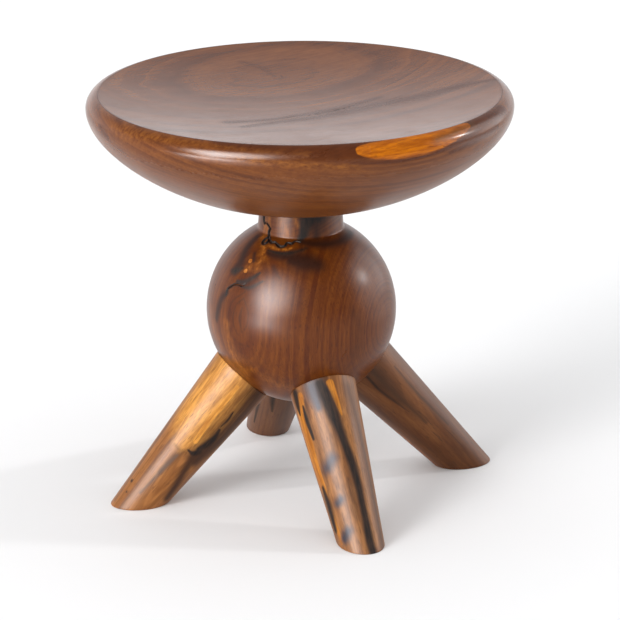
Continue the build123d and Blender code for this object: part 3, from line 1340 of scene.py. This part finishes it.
@dataclass
class Leg(TurnedPiece):
    """A round tapered leg, hollowed to sit on the ball and cut level with the floor."""

    compass: float = 0.0  # azimuth that the leg points to, in degrees
    lean: float = 40.0  # away from plumb, in degrees
    axes_height: float = 0.206
    shoulder_radius: float = 0.0338
    foot_radius: float = 0.0233
    sole_ease: float = 0.0016
    shoulder_ease: float = 0.0010
    socket_radius: float = 0.0141
    socket_depth: float = 0.036
    columns: int = 150
    sole_rows: int = 7
    foot_bend_rows: int = 6
    side_rows: int = 120
    top_bend_rows: int = 5
    hollow_rows: int = 9
    socket_rows: int = 5
    socket_end_rows: int = 4
    innermost: tuple[float, float] = (0.15, 0.2)  # shares of the way out, on the sole and in the socket

    def __post_init__(self) -> None:
        """Works out the leg's own axes, with the third one along it, and its length."""
        compass, lean = math.radians(self.compass), math.radians(self.lean)
        self.along = leg_axis(self.compass, self.lean)
        self.level = np.array([-math.sin(compass), math.cos(compass), 0.0])
        self.upward = np.cross(self.along, self.level)
        rise = self.axes_height - BALL_CENTRE_HEIGHT
        to_ball = rise * math.cos(lean) + math.sqrt(BALL_RADIUS**2 - (rise * math.sin(lean)) ** 2)
        self.length = self.axes_height / math.cos(lean) - to_ball
        self.taper = (self.foot_radius - self.shoulder_radius) / self.length
        self.shoulder = np.array([0.0, 0.0, self.axes_height]) + self.along * to_ball
        self.ball_centre = np.array([0.0, 0.0, BALL_CENTRE_HEIGHT])

    def outward(self, angle: Array) -> Array:
        """Unit vectors square to the leg, at angles in radians from its level axis."""
        return np.cos(angle)[..., None] * self.level + np.sin(angle)[..., None] * self.upward

    def surface(self, across: Array, along: Array) -> Array:
        """Points on the side: shoulder + along * the leg's axis + radius * outward.

        Args:
            across: angle in degrees round the leg, from its level axis.
            along: length along it in metres, from the shoulder.

        Returns:
            One point in each row.
        """
        radius = self.shoulder_radius + self.taper * along
        out = self.outward(np.radians(across))
        return self.shoulder + along[:, None] * self.along + radius[:, None] * out

    def onto_ball(self, points: Array) -> Array:
        """Moves points along the leg onto the ball's surface.

        With q from the ball's centre to the point and d along the leg, the step s solves
        |q + s d| = ball radius, taking the far side.

        Args:
            points: the points, as xyz on the last axis.

        Returns:
            The moved points.
        """
        q = points - self.ball_centre
        along = q @ self.along
        step = -along + np.sqrt(along**2 - (q**2).sum(-1) + BALL_RADIUS**2)
        return points + step[..., None] * self.along

    def generator_on_ball(self, start: Array, slope: Array) -> Array:
        """Finds where each straight line down the leg's side meets the ball, nearest the shoulder.

        With q from the ball's centre to the start, the step s solves |q + s slope| = ball radius.

        Args:
            start: a point on each line.
            slope: each line's direction.

        Returns:
            One point in each row.
        """
        q = start - self.ball_centre
        a = (slope**2).sum(1)
        b = 2 * (q * slope).sum(1)
        c = (q**2).sum(1) - BALL_RADIUS**2
        step = (-b + np.sqrt(b**2 - 4 * a * c)) / (2 * a)
        return start + step[:, None] * slope

    def skin(self, name: str) -> bpy.types.Object:
        """Builds rings from the sole, up the side, over the hollow and down into the socket.

        Args:
            name: the piece's name.

        Returns:
            The piece's object.
        """
        angle = np.linspace(0.0, 2 * math.pi, self.columns, endpoint=False)
        out = self.outward(angle)
        start = self.shoulder + self.shoulder_radius * out
        slope = self.along + self.taper * out
        slope_unit = slope / np.linalg.norm(slope, axis=1)[:, None]

        sole_corner = start - (start[:, 2] / slope[:, 2])[:, None] * slope
        sole_middle = self.shoulder - self.along * (self.shoulder[2] / self.along[2])
        inward = sole_middle - sole_corner
        inward /= np.linalg.norm(inward, axis=1)[:, None]
        sole_edge = sole_corner + self.sole_ease * inward
        foot_end = sole_corner - self.sole_ease * slope_unit
        foot_bend = bend(sole_edge, sole_corner, foot_end, self.foot_bend_rows)

        top_corner = self.generator_on_ball(start, slope)
        side_end = top_corner + self.shoulder_ease * slope_unit
        hollow_edge = self.onto_ball(top_corner - self.shoulder_ease * out)
        socket_rim = self.onto_ball(self.shoulder + self.socket_radius * out)
        socket_end = self.shoulder + self.socket_depth * self.along
        socket_corner = socket_end + self.socket_radius * out
        on_sole, in_socket = self.innermost
        rings = np.concatenate(
            [
                between(sole_middle, sole_edge, on_sole, 1.0, self.sole_rows),
                foot_bend[1:],
                between(side_end, foot_bend[-1], 1.0, 0.0, self.side_rows)[1:],
                bend(side_end, top_corner, hollow_edge, self.top_bend_rows)[1:],
                self.onto_ball(between(hollow_edge, socket_rim, 0.0, 1.0, self.hollow_rows))[1:],
                between(socket_rim, socket_corner, 0.0, 1.0, self.socket_rows)[1:],
                between(socket_end, socket_corner, 1.0, in_socket, self.socket_end_rows)[1:],
            ]
        )
        return closed_skin(name, rings, sole_middle, socket_end)


# --------------------------------------------------------------------------------------------------
# Studio
# --------------------------------------------------------------------------------------------------

WHITE = (1.0, 1.0, 1.0, 1.0)


def toward(azimuth: float, elevation: float = 0.0) -> Vector:
    """Finds a direction: (cos e cos a, cos e sin a, sin e).

    Args:
        azimuth: the angle a, in degrees anticlockwise from +X.
        elevation: the angle e above the floor, in degrees.

    Returns:
        The unit vector.
    """
    a, e = math.radians(azimuth), math.radians(elevation)
    return Vector((math.cos(e) * math.cos(a), math.cos(e) * math.sin(a), math.sin(e)))


@dataclass(frozen=True)
class SoftLight:
    """A large, far, round light.

    Args:
        name: the light's name.
        azimuth: where it hangs, in degrees anticlockwise from +X.
        elevation: its angle above the floor, in degrees.
        spread: the angle that it fills, in degrees.
        strength: in watts for each square metre that faces it.
        sheen_only: whether it only shows in polish, as a bright panel far away does.
    """

    name: str
    azimuth: float
    elevation: float
    spread: float
    strength: float
    sheen_only: bool = False

    def hang(self) -> None:
        """Adds the light, turned to the stool."""
        data = bpy.data.lights.new(self.name, "SUN")
        data.angle = math.radians(self.spread)
        data.energy = self.strength
        light = bpy.data.objects.new(self.name, data)
        bpy.context.scene.collection.objects.link(light)
        light.visible_diffuse = not self.sheen_only
        place = toward(self.azimuth, self.elevation)
        light.matrix_world = Matrix.Translation(place) @ place.to_track_quat("Z", "Y").to_matrix().to_4x4()


@dataclass(frozen=True)
class LightPool:
    """A bright place on the floor, seen only where polish mirrors it.

    Args:
        azimuth: where its middle lies, in degrees anticlockwise from +X.
        distance: how far that is from the stool, in metres.
        reach: its radius, in metres.
        strength: its brightness, where 1 is white.
    """

    azimuth: float
    distance: float
    reach: float
    strength: float


@dataclass(frozen=True)
class Studio:
    """A white floor, a camera, and soft lights: a key light, a small second one and their sheens."""

    camera_place: Triple = (1.4411, -2.6989, 1.2435)
    camera_pitch: float = 71.092  # degrees, from looking straight down
    camera_heading: float = 27.934
    camera_roll: float = -0.363
    lens: float = 182.04
    sensor_width: float = 36.0
    floor_radius: float = 14.0
    floor_sides: int = 96
    floor_white: Colour = (0.857, 0.861, 0.870)
    floor_roughness: float = 0.75
    floor_mirroring: float = 0.1
    floor_pools: tuple[LightPool, ...] = (
        LightPool(260.0, 1.4, 0.75, 4.5),
        LightPool(252.0, 2.2, 0.90, 28.0),
        LightPool(253.0, 4.6, 2.40, 22.0),
        LightPool(40.0, 1.5, 0.80, 1.6),
    )
    pool_core: float = 0.3  # the share of a pool's reach that is at full strength
    lights: tuple[SoftLight, ...] = (
        SoftLight("key_light", 250.0, 21.0, 36.0, 1.35),
        SoftLight("key_sheen", 259.0, 26.0, 42.0, 6.6, sheen_only=True),
        SoftLight("key_core", 253.5, 24.0, 18.0, 1.0),
        SoftLight("key_low", 252.0, 5.0, 16.0, 0.85, sheen_only=True),
        SoftLight("second_light", 38.0, 24.0, 4.0, 0.70),
        SoftLight("side_sheen", 45.0, 12.0, 60.0, 1.8, sheen_only=True),
    )
    backdrop_azimuth: float = 118.0
    backdrop_edges: tuple[float, float] = (-0.75, 0.55)  # cosines of the angle from it, where it fades
    backdrop_white: float = 0.97
    even_strength: float = 0.88  # of the surroundings, where nothing mirrors them
    sky_behind: tuple[tuple[float, Colour], ...] = (  # sine of the height above the floor, colour
        (0.00, (1.40, 1.39, 1.43)),
        (0.10, (1.30, 1.29, 1.32)),
        (0.22, (1.12, 1.11, 1.14)),
        (0.42, (0.60, 0.60, 0.62)),
        (0.70, (0.32, 0.32, 0.34)),
    )
    sky_before: tuple[tuple[float, Colour], ...] = (
        (0.00, (0.34, 0.34, 0.35)),
        (0.20, (0.17, 0.17, 0.18)),
        (0.60, (0.14, 0.14, 0.15)),
    )

    def build(self) -> None:
        """Puts everything up."""
        self.build_camera()
        self.build_floor()
        self.build_world()
        for light in self.lights:
            light.hang()

    def build_camera(self) -> None:
        """Adds the camera and makes it the scene's."""
        data = bpy.data.cameras.new("camera")
        data.lens = self.lens
        data.sensor_width = self.sensor_width
        camera = bpy.data.objects.new("camera", data)
        bpy.context.scene.collection.objects.link(camera)
        camera.matrix_world = (
            Matrix.Translation(self.camera_place)
            @ Matrix.Rotation(math.radians(self.camera_heading), 4, "Z")
            @ Matrix.Rotation(math.radians(self.camera_pitch), 4, "X")
            @ Matrix.Rotation(math.radians(self.camera_roll), 4, "Z")
        )
        bpy.context.scene.camera = camera

    def build_floor(self) -> None:
        """Lays a round white floor, one fan of triangles."""
        count = self.floor_sides
        angle = np.linspace(0.0, 2 * math.pi, count, endpoint=False)
        rim = self.floor_radius * np.column_stack([np.cos(angle), np.sin(angle), np.zeros(count)])
        vertices = np.vstack([np.zeros(3), rim])
        places = 1 + np.arange(count)
        fan = np.column_stack([np.zeros(count, int), places, np.roll(places, -1)])
        mesh = bpy.data.meshes.new("floor")
        mesh.from_pydata(vertices.tolist(), [], fan.tolist())
        mesh.materials.append(self.floor_material())
        floor = bpy.data.objects.new("floor", mesh)
        bpy.context.scene.collection.objects.link(floor)

    def floor_material(self) -> bpy.types.Material:
        """White, and brighter in each light pool where polish mirrors it, and nowhere else.

        Returns:
            The floor's material.
        """
        material, sheet = blank_material("floor_white")
        place = sheet.add("TexCoord").outputs["Object"]
        glow = 0.0
        for pool in self.floor_pools:
            middle = pool.distance * toward(pool.azimuth)
            apart = sheet.measure("DISTANCE", place, middle)
            edge = sheet.step(apart, pool.reach, self.pool_core * pool.reach)
            glow = sheet.math("ADD", sheet.math("MULTIPLY", edge, pool.strength), glow)
        mirrored = sheet.add("LightPath").outputs["Is Glossy Ray"]
        shader = sheet.add(
            "BsdfPrincipled",
            {
                "Base Color": opaque(self.floor_white),
                "Roughness": self.floor_roughness,
                "Specular IOR Level": self.floor_mirroring,
                "Emission Color": WHITE,
                "Emission Strength": sheet.math("MULTIPLY", glow, mirrored),
            },
        )
        sheet.add("OutputMaterial", {"Surface": shader.outputs[0]})
        return material

    def build_world(self) -> None:
        """Lights the surroundings: even for shading, and graded by height where polish mirrors them."""
        world = bpy.data.worlds.new("studio_air")
        world.use_nodes = True
        world.node_tree.nodes.clear()
        sheet = NodeSheet(world.node_tree)
        direction = sheet.add("TexCoord").outputs["Generated"]
        height = sheet.math("MAXIMUM", sheet.add("SeparateXYZ", {"Vector": direction}).outputs["Z"], 0.0)
        behind = sheet.ramp(height, *self.sky_behind)
        before = sheet.ramp(height, *self.sky_before)
        facing = sheet.measure("DOT_PRODUCT", direction, toward(self.backdrop_azimuth))
        mirrored = sheet.mix(sheet.step(facing, *self.backdrop_edges), before, behind)
        rays = sheet.add("LightPath").outputs
        surface = self.backdrop(sheet, WHITE, self.even_strength)
        for ray, colour, strength in (
            ("Is Glossy Ray", mirrored, 1.0),
            ("Is Camera Ray", WHITE, self.backdrop_white),
        ):
            seen = self.backdrop(sheet, colour, strength)
            surface = sheet.add("MixShader", {0: rays[ray], 1: surface, 2: seen}).outputs[0]
        sheet.add("OutputWorld", {"Surface": surface})
        bpy.context.scene.world = world

    @staticmethod
    def backdrop(sheet: NodeSheet, colour: object, strength: float) -> Socket:
        """Adds a Background of one colour and strength, and gives its shader."""
        return sheet.add("Background", {"Color": colour, "Strength": strength}).outputs[0]


# --------------------------------------------------------------------------------------------------
# The stool
# --------------------------------------------------------------------------------------------------

# Down the outside, lengths run from the dish's edge
SEAT_MARKS = (
    # Streaks across the dish
    dish_streak(
        UMBER, 0.8, (160, 128, 4), (135, 106, 9), (110, 70, 13), (85, 34, 15), (62, -8, 15),
        (37, -50, 12), (15, -85, 8), (0, -118, 5),
    ),
    dish_streak(UMBER, 0.8, (66, 50, 4), (45, -5, 9), (25, -40, 7), (5, -75, 6), (-22, -108, 8)),
    dish_streak(INK, 0.6, (56, 14, 0.8), (43, -16, 1.8), (30, -42, 0.8)),
    dish_streak(UMBER, 0.1, (-120, 94, 10), (-95, 90, 14), (-68, 72, 6)),
    dish_streak(UMBER, 0.3, (-64, 78, 2), (-58, 70, 3), (-64, 63, 2)),
    dish_streak(HONEY, 0.1, (-140, 78, 2), (-118, 70, 4), (-92, 66, 3), (-66, 64, 2)),
    dish_streak(UMBER, 0.6, (60, 190, 1), (59, 130, 2), (52, 80, 1)),
    # A painted shade line in the crisp edge round the dish
    streak(UMBER, 0.7, *((azimuth, 0, 0.6) for azimuth in range(0, 361, 5))),
    # The rim, round from the left
    streak(HONEY, 0.4, (238, 12, 6), (245, 13, 13), (254, 9, 9), (270, 6, 5)),
    streak(UMBER, 0.8, (232, 18, 3), (236, 23, 5), (238, 26, 3)),
    streak(HONEY, 0.1, (272, 6, 6), (285, 9, 7), (300, 12, 8)),
    streak(UMBER, 1.1, (276, 3, 5), (290, 5, 8), (303, 8, 10), (314, 10, 10)),
    streak(HONEY, 0.8, (282, 18, 3), (298, 22, 3.5), (313, 27, 3)),
    streak(
        AMBER, 1, (314, 10.5, 5.5), (318, 11.2, 8.8), (326, 11.8, 11), (335, 10.8, 10.2),
        (343, 7.8, 7.4), (349, 4.5, 4.2),
    ),
    streak(UMBER, 0.95, (311, 22, 1.6), (323, 25, 2.4), (335, 23.2, 2.4), (345, 17.5, 2.8), (353, 12.5, 3)),
    streak(SLATE, 0.1, (336, 11, 10), (344, 8, 12), (352, 5, 10)),
    streak(UMBER, 1.1, (351, 4, 5), (358, 6, 8), (370, 8, 6)),
    streak(UMBER, 0.8, (340, 27, 2), (350, 22, 5), (362, 20, 3)),
    # The side away from the front
    streak(AMBER, 1, (112, 14, 4), (122, 12, 9), (133, 16, 5)),
    streak(HONEY, 0.5, (60, 30, 6), (85, 20, 12), (108, 16, 7)),
    streak(UMBER, 0.6, (30, 10, 5), (50, 14, 8), (72, 10, 5)),
    streak(UMBER, 0.6, (140, 26, 4), (165, 18, 7), (195, 22, 5)),
)

# On the ball and neck, places along are heights above the floor. The cracks run down the neck, round
# a knot and along the neck's foot, and one is on the ball
BALL_CRACKS = (
    streak(
        CRACK, 1, (236.5, 315, 2.6), (237, 303, 1.8), (239.2, 296.5, 0.8), (243.5, 297.8, 0.6),
        (247.4, 296.6, 0.9), (252.7, 293.1, 1), (250.6, 289.5, 1.2), (252.5, 285, 0.9),
    ),
    streak(
        CRACK, 1, (254.3, 284.9, 1), (257.2, 283.6, 1), (257, 281.2, 1), (254.3, 280, 1),
        (251.5, 281.2, 1), (251.4, 283.6, 1), (254.3, 284.9, 1),
    ),
    streak(
        CRACK, 1, (257.5, 283.2, 1.2), (263.3, 282.2, 1), (266.5, 282.9, 0.6), (271.1, 281.4, 0.8),
        (275.1, 280.3, 1.2), (280.3, 281.1, 0.9), (281.9, 283.4, 0.7), (287.3, 283.1, 0.9),
        (291.3, 284.7, 0.5), (297, 284.3, 0.7),
    ),
    streak(
        CRACK, 1, (243.1, 230.4, 0.5), (242.5, 235.7, 0.9), (245.1, 239.5, 1), (247.7, 242.4, 0.9),
        (251.6, 243.7, 0.8), (254.4, 243.3, 0.6), (257.5, 246, 0.4),
    ),
)

BALL_MARKS = (
    *BALL_CRACKS,
    # The wood beside a crack is stained dark
    *(crack.stain() for crack in BALL_CRACKS),
    # Burl on the neck and below it, with dark wood round it, a near-black zone under the seat, and painted
    # shade on the ball's top under the seat
    streak(HONEY, 0.8, (241, 316, 6), (244, 304, 6), (246, 292, 6)),
    streak(HONEY, 0.05, (256, 316, 12), (270, 304, 14), (280, 292, 14)),
    streak(HONEY, 0.2, (288, 314, 6), (294, 300, 5)),
    streak(HONEY, 0.3, (246, 284, 5), (256, 279, 6), (262, 272, 6)),
    streak(HONEY, 0.15, (262, 270, 9), (262, 258, 8)),
    streak(HONEY, 0.5, (262, 279.5, 2.5), (280, 278.5, 2.5), (288, 280, 2)),
    streak(UMBER, 0.9, (236, 283, 4), (239, 272, 6), (244, 262, 6), (242, 254, 6)),
    streak(UMBER, 0.6, (252, 272, 3), (256, 266, 3)),
    streak(UMBER, 0.7, (264, 274.5, 3), (280, 273, 6), (296, 274, 6)),
    streak(UMBER, 0.1, (276, 264, 6), (282, 256, 4)),
    # Dark wood at the neck's right foot, deepened as painted shade under the seat
    streak(UMBER, 0.95, (290, 271, 7), (301, 270, 12), (311, 267, 9)),
    streak(UMBER, 0.45, (302, 312, 4), (303, 300, 6), (304, 290, 5)),
    streak(INK, 0.35, (264, 276.5, 2), (280, 275.5, 4), (293, 277.5, 5), (304, 280, 5)),
    # Near-black on the neck, widest right under the seat and narrowing downwards
    streak(INK, 1.1, (322, 318, 18), (314, 312, 12), (306, 303, 7), (301, 292, 4), (297, 286, 3)),
    streak(UMBER, 0.45, (319, 312, 11), (319, 298, 10), (319, 286, 8)),
    # Painted shade round the neck's foot under the seat, from the front right round to the back
    streak(UMBER, 0.7, (300, 284, 5), (320, 282, 8), (345, 281, 7), (380, 282, 5)),
    # Two amber specks in a dark patch, and slate streaks beside the ball's crack
    streak(HONEY, 0.25, (254.5, 260, 8)),
    streak(AMBER, 1, (252.4, 265.4, 2.4)),
    streak(AMBER, 1, (252.9, 256.8, 2.4)),
    streak(INK, 0.55, (239.5, 253, 4), (244, 254, 6), (248.5, 258, 3)),
    streak(SLATE, 0.8, (249, 246, 2), (256, 247.5, 3.5), (262, 253, 3), (266, 257.9, 1.5)),
    streak(SLATE, 0.55, (255, 242.5, 2), (262.1, 244, 3.5), (270, 251, 2)),
    # Dark wood down the ball's left, the soft ovals round a closed knot, painted light on the ball's left
    # and bottom, and painted shade on its right
    streak(UMBER, 0.8, (243, 233, 4), (239.3, 225.3, 5), (237.3, 214.3, 5), (236, 202, 4)),
    streak(UMBER, 0.3, (259, 223, 2), (258, 213, 3.5), (259.5, 203, 2)),
    streak(
        UMBER, 0.12, (259, 233, 2.2), (253.5, 223, 2.2), (253, 207, 2.2), (257, 196, 2.2),
        (263, 205, 2.2), (264, 220, 2.2), (259, 233, 2.2),
    ),
    streak(
        UMBER, 0.05, (259, 239, 1.6), (250, 226, 2.4), (248.5, 205, 2.6), (253, 189, 2.4),
        (262, 184, 2), (270, 190, 1.2),
    ),
    # Painted light: soft orange glows on the ball's left and bottom, where the key light falls
    streak(HONEY, -0.15, (222, 215, 16), (232, 185, 26), (244, 150, 20)),
    streak(HONEY, 0.06, (246.5, 203, 11), (247.5, 182, 16), (253, 150, 20)),
    streak(HONEY, -0.14, (263, 158, 14), (276, 144, 17), (292, 137, 14)),
    # Painted shade: the ball's right, away from the key light, a little darker
    streak(UMBER, -0.12, (330, 225, 14), (334, 200, 20), (332, 172, 16)),
    # Faint golden wood on the ball's front right
    streak(HONEY, -0.5, (304, 215, 8), (310, 185, 8)),
    # The side away from the front
    streak(UMBER, 0.7, (60, 262, 6), (72, 240, 10), (78, 215, 7)),
    streak(HONEY, -0.2, (95, 225, 8), (112, 205, 18), (124, 180, 10)),
    streak(UMBER, 0.6, (150, 250, 5), (165, 225, 9), (172, 190, 6)),
)

# On a leg, angles run from its level axis and lengths from its shoulder
FRONT_LEFT_MARKS = (
    streak(HONEY, 1, (44, -8, 23), (46, 30, 26), (43, 58, 22), (30, 80, 12)),
    streak(AMBER, 0.6, (14, 4, 3), (14, 30, 5), (14, 55, 5), (9, 76, 5)),
    # Dark wood down the leg, deepened as painted shade on its side away from the key light
    streak(UMBER, 1.25, (342, -6, 11), (341, 30, 14), (341, 60, 14), (344, 92, 8)),
    streak(UMBER, 0.8, (350.5, 80, 4), (349, 95, 6), (343, 110, 6), (333, 129, 6), (327, 143, 5)),
    streak(UMBER, 0.3, (9.5, 86, 4), (22, 102, 6), (27, 125, 4)),
    streak(UMBER, 0.45, (70, -2, 4), (47, 4, 4), (29, 11, 2)),
    streak(UMBER, 0.35, (76, -4, 6), (72, 14, 7), (69, 28, 4)),
    streak(INK, 0.8, (349, 28, 1), (346, 38, 1.8), (348, 48, 1)),
    streak(INK, 0.9, (346, 52, 2), (342, 62, 4), (345, 72, 5), (353, 81, 2.8)),
    streak(INK, 0.9, (347, 83, 4), (357, 88, 3), (370, 88, 1.2)),
    streak(UMBER, 0.5, (10, 91, 2), (24, 93, 3), (40, 92, 2)),
    streak(SLATE, 0.35, (20, 100, 3), (26, 124, 4), (33, 155, 2.5)),
    streak(UMBER, 0.25, (99, 0, 5), (95, 60, 6), (90, 120, 5), (86, 180, 3)),
    streak(INK, 0.8, (75, 152, 2.6)),
    streak(INK, 0.7, (66, 164, 1.8)),
)

FRONT_RIGHT_MARKS = (
    streak(
        INK, 1, (114, -2, 4.5), (109, 12, 6.8), (103.5, 30, 6.6), (96.5, 55, 4.6), (88.5, 85, 5),
        (85, 110, 4.2), (84.6, 135, 3.8), (85.4, 163, 4.6), (84, 184, 3.4),
    ),
    streak(
        UMBER, 0.85, (116, -2, 9), (101, 30, 8.5), (94, 55, 7.5), (88, 85, 6.5), (86, 120, 6.5),
        (86, 184, 6),
    ),
    streak(AMBER, 0.6, (96, 0, 7), (92, 16, 5.5), (88, 34, 2)),
    streak(HONEY, 0.95, (84, 20, 6), (80, 60, 5), (76, 110, 4), (74, 170, 4)),
    streak(AMBER, 0.55, (158, 4, 8), (172, 30, 13), (176, 80, 12), (168, 115, 6), (163, 160, 3)),
    streak(HONEY, 0.6, (132, 30, 16), (128, 90, 18), (128, 175, 16)),
    streak(INK, 0.8, (157, 14, 1.4), (158, 30, 3.2), (155, 50, 1.8)),
    streak(INK, 0.9, (168, -2, 5.5), (171, 8, 4), (173, 20, 1.5)),
    streak(INK, 0.6, (172, 100, 4), (170, 122, 7.5), (173, 145, 4)),
    streak(UMBER, 0.7, (104, 100, 3), (103, 120, 7), (106, 142, 3)),
    streak(UMBER, 0.4, (150, 10, 3), (148, 60, 4), (152, 100, 3)),
    streak(SLATE, 0.8, (130, -2, 9), (128, 10, 9), (126, 22, 5)),
    streak(SLATE, 0.75, (127, 76, 8.5), (140, 83, 8.5)),
    streak(UMBER, 0.3, (130, 98, 5), (131, 104, 4)),
    streak(SLATE, 0.8, (131, 118, 5.8), (140, 121, 5.5)),
    streak(SLATE, 0.75, (134, 151, 6.8), (148, 157, 6.8)),
    streak(UMBER, 0.25, (62, 5, 12), (50, 80, 11), (46, 175, 12)),
)

BACK_RIGHT_MARKS = (
    streak(UMBER, 0.35, (146, 16, 2), (149, 60, 4), (146, 115, 2)),
    streak(INK, 0.25, (197, -2, 3), (198, 20, 3.5), (194, 45, 3), (190, 66, 1)),
    # Painted shade near the shoulder, on the side facing the front, under the ball
    streak(UMBER, 0.3, (182, -4, 13), (184, 20, 14), (182, 55, 9), (180, 90, 4)),
    streak(INK, 0.1, (176, 70, 1), (174, 85, 2.2), (176, 100, 1)),
    streak(INK, 0.1, (186, 100, 1), (184, 114, 2.4), (187, 128, 1)),
    streak(INK, 0.1, (160, 110, 1), (158, 130, 2), (160, 155, 1)),
)

CHANCE_KINDS = (UMBER, INK, HONEY, SLATE, UMBER, AMBER, INK)
CHANCE_STRENGTH = 0.6
CHANCE_PLACES = (0.25, 0.75)  # across its own share of the plain side
CHANCE_STARTS = (-0.01, 0.45)  # in metres past the shoulder, then as a share of the leg's length
CHANCE_REACHES = (0.35, 0.75)  # shares of the leg's length
CHANCE_WANDER = 9.0  # degrees
CHANCE_WIDTHS = (0.0025, 0.0050)
CHANCE_ENDS = (0.3, 0.4)  # widths at the two ends, as shares of the middle's


@dataclass(frozen=True)
class LegStance:
    """Which way a leg was bored, and the timber it was turned from.

    Args:
        corner: the leg's name.
        compass: azimuth that it points to, in degrees.
        lean: its angle away from plumb, in degrees.
        palette: its timber's colours.
        seed: sets its timber's pattern and the streaks drawn by chance.
        plain_side: angles round it, in degrees, between which the streaks are drawn by chance.
        marks: the listed marks.
    """

    corner: str
    compass: float
    lean: float
    palette: Palette
    seed: float
    plain_side: tuple[float, float]
    marks: tuple[Mark, ...] = ()

    def chance_streaks(self, length: float) -> tuple[Mark, ...]:
        """Draws streaks along the side that has no listed marks.

        Args:
            length: the leg's length, in metres.

        Returns:
            Streaks of several kinds, each of three points along the leg.
        """
        draw = np.random.default_rng(int(self.seed * 10))
        low, high = self.plain_side
        first_start, last_start = CHANCE_STARTS
        thin, tail = CHANCE_ENDS
        marks = []
        for kind, place in zip(CHANCE_KINDS, draw.permutation(len(CHANCE_KINDS))):
            angle = low + (high - low) * (place + draw.uniform(*CHANCE_PLACES)) / len(CHANCE_KINDS)
            start = draw.uniform(first_start, last_start * length)
            reach = draw.uniform(*CHANCE_REACHES) * length
            wander = draw.uniform(-CHANCE_WANDER, CHANCE_WANDER, 2)
            width = draw.uniform(*CHANCE_WIDTHS)
            points = (
                (angle, start, thin * width),
                (angle + wander[0], start + reach / 2, width),
                (angle + wander[1], start + reach, tail * width),
            )
            marks.append(Mark(kind, CHANCE_STRENGTH, points))
        return tuple(marks)

    def leg(self) -> Leg:
        """Makes the leg, with its growth rings round a pith beside its own axis.

        Returns:
            The leg, ready to build.
        """
        leg = Leg("leg_" + self.corner, LEG_TIMBER, "leg_wood", compass=self.compass, lean=self.lean)
        leg.timber = replace(
            LEG_TIMBER,
            name="leg_timber_" + self.corner,
            pith=tuple(leg.shoulder + PITH_OFFSET * leg.level),
            grain=tuple(leg.along),
            palette=self.palette,
            seed=self.seed,
        )
        leg.marks = self.marks + self.chance_streaks(leg.length)
        return leg


LEG_STANCES = (
    LegStance("front_left", 221.7, 40.5, PALE_LEG_PALETTE, 3.1, (105.0, 300.0), FRONT_LEFT_MARKS),
    LegStance("front_right", 318.6, 39.0, STRIPED_LEG_PALETTE, 7.7, (195.0, 400.0), FRONT_RIGHT_MARKS),
    LegStance("back_right", 49.3, 42.0, BROWN_LEG_PALETTE, 11.3, (240.0, 455.0), BACK_RIGHT_MARKS),
    LegStance("back_left", 130.3, 41.3, PLAIN_LEG_PALETTE, 17.9, (0.0, 360.0)),
)

SEAT_TIMBER = Timber(
    "seat_timber",
    pith=(-0.113, 0.129, -0.48),
    grain=(0.50, 0.86, 0.023),
    palette=SEAT_PALETTE,
    seed=2.0,
    band_width=0.0065,
    warp=0.0022,
    line_strength=0.55,
    roughness=0.34,
    worn_above=0.400,
    worn_roughness=0.21,
)
BALL_TIMBER = Timber(
    "ball_timber",
    pith=(0.0045, 0.0233, 0.1953),
    grain=(0.982, -0.191, 0.0),
    palette=BALL_PALETTE,
    seed=5.0,
    band_width=0.0034,
    warp=0.0014,
    run=12.0,
    roughness=0.31,
    line_strength=0.22,
    mirroring=0.23,
    fibres=(0.05, 0.0, 1.0),
)
LEG_TIMBER = Timber(  # each leg has its own name, pith, grain, palette and seed in place of these
    "leg_timber",
    pith=(0.0, 0.0, 0.0),
    grain=UP,
    palette=PLAIN_LEG_PALETTE,
    run=14.0,
    band_width=0.010,
    warp=0.004,
    roughness=0.40,
    mirroring=0.20,
)
PITH_OFFSET = 0.03  # of a leg's growth rings from its own axis


def build_stool(groups: TimberGroups) -> None:
    """Builds and dresses every turned piece.

    Args:
        groups: the shared node groups.
    """
    pieces: list[TurnedPiece] = [
        Seat("seat", SEAT_TIMBER, "seat_wood", SEAT_MARKS),
        BallAndNeck("ball_and_neck", BALL_TIMBER, "ball_wood", BALL_MARKS),
        *(stance.leg() for stance in LEG_STANCES),
    ]
    for piece in pieces:
        piece.dress(piece.build(), groups)


def dress_dowels(groups: TimberGroups) -> None:
    """Gives the hidden dowels bare wood, with the fibres along each one.

    Args:
        groups: the shared node groups.
    """
    fibres = {"dowel_leg_" + stance.corner: leg_axis(stance.compass, stance.lean) for stance in LEG_STANCES}
    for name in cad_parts:
        if name.startswith("dowel_"):
            material = BareWood(name + "_wood").material(groups, tuple(fibres.get(name, UP)))
            for slot in bpy.data.objects[name].material_slots:
                slot.material = material
            log.info("%s: bare wood", name)


def main() -> None:
    """Builds the studio and the stool."""
    logging.basicConfig(level=logging.INFO, format="%(name)s: %(message)s")
    bpy.context.scene.view_settings.view_transform = "Standard"
    groups = TimberGroups()
    Studio().build()
    build_stool(groups)
    dress_dowels(groups)


if __name__ == "__main__":
    main()
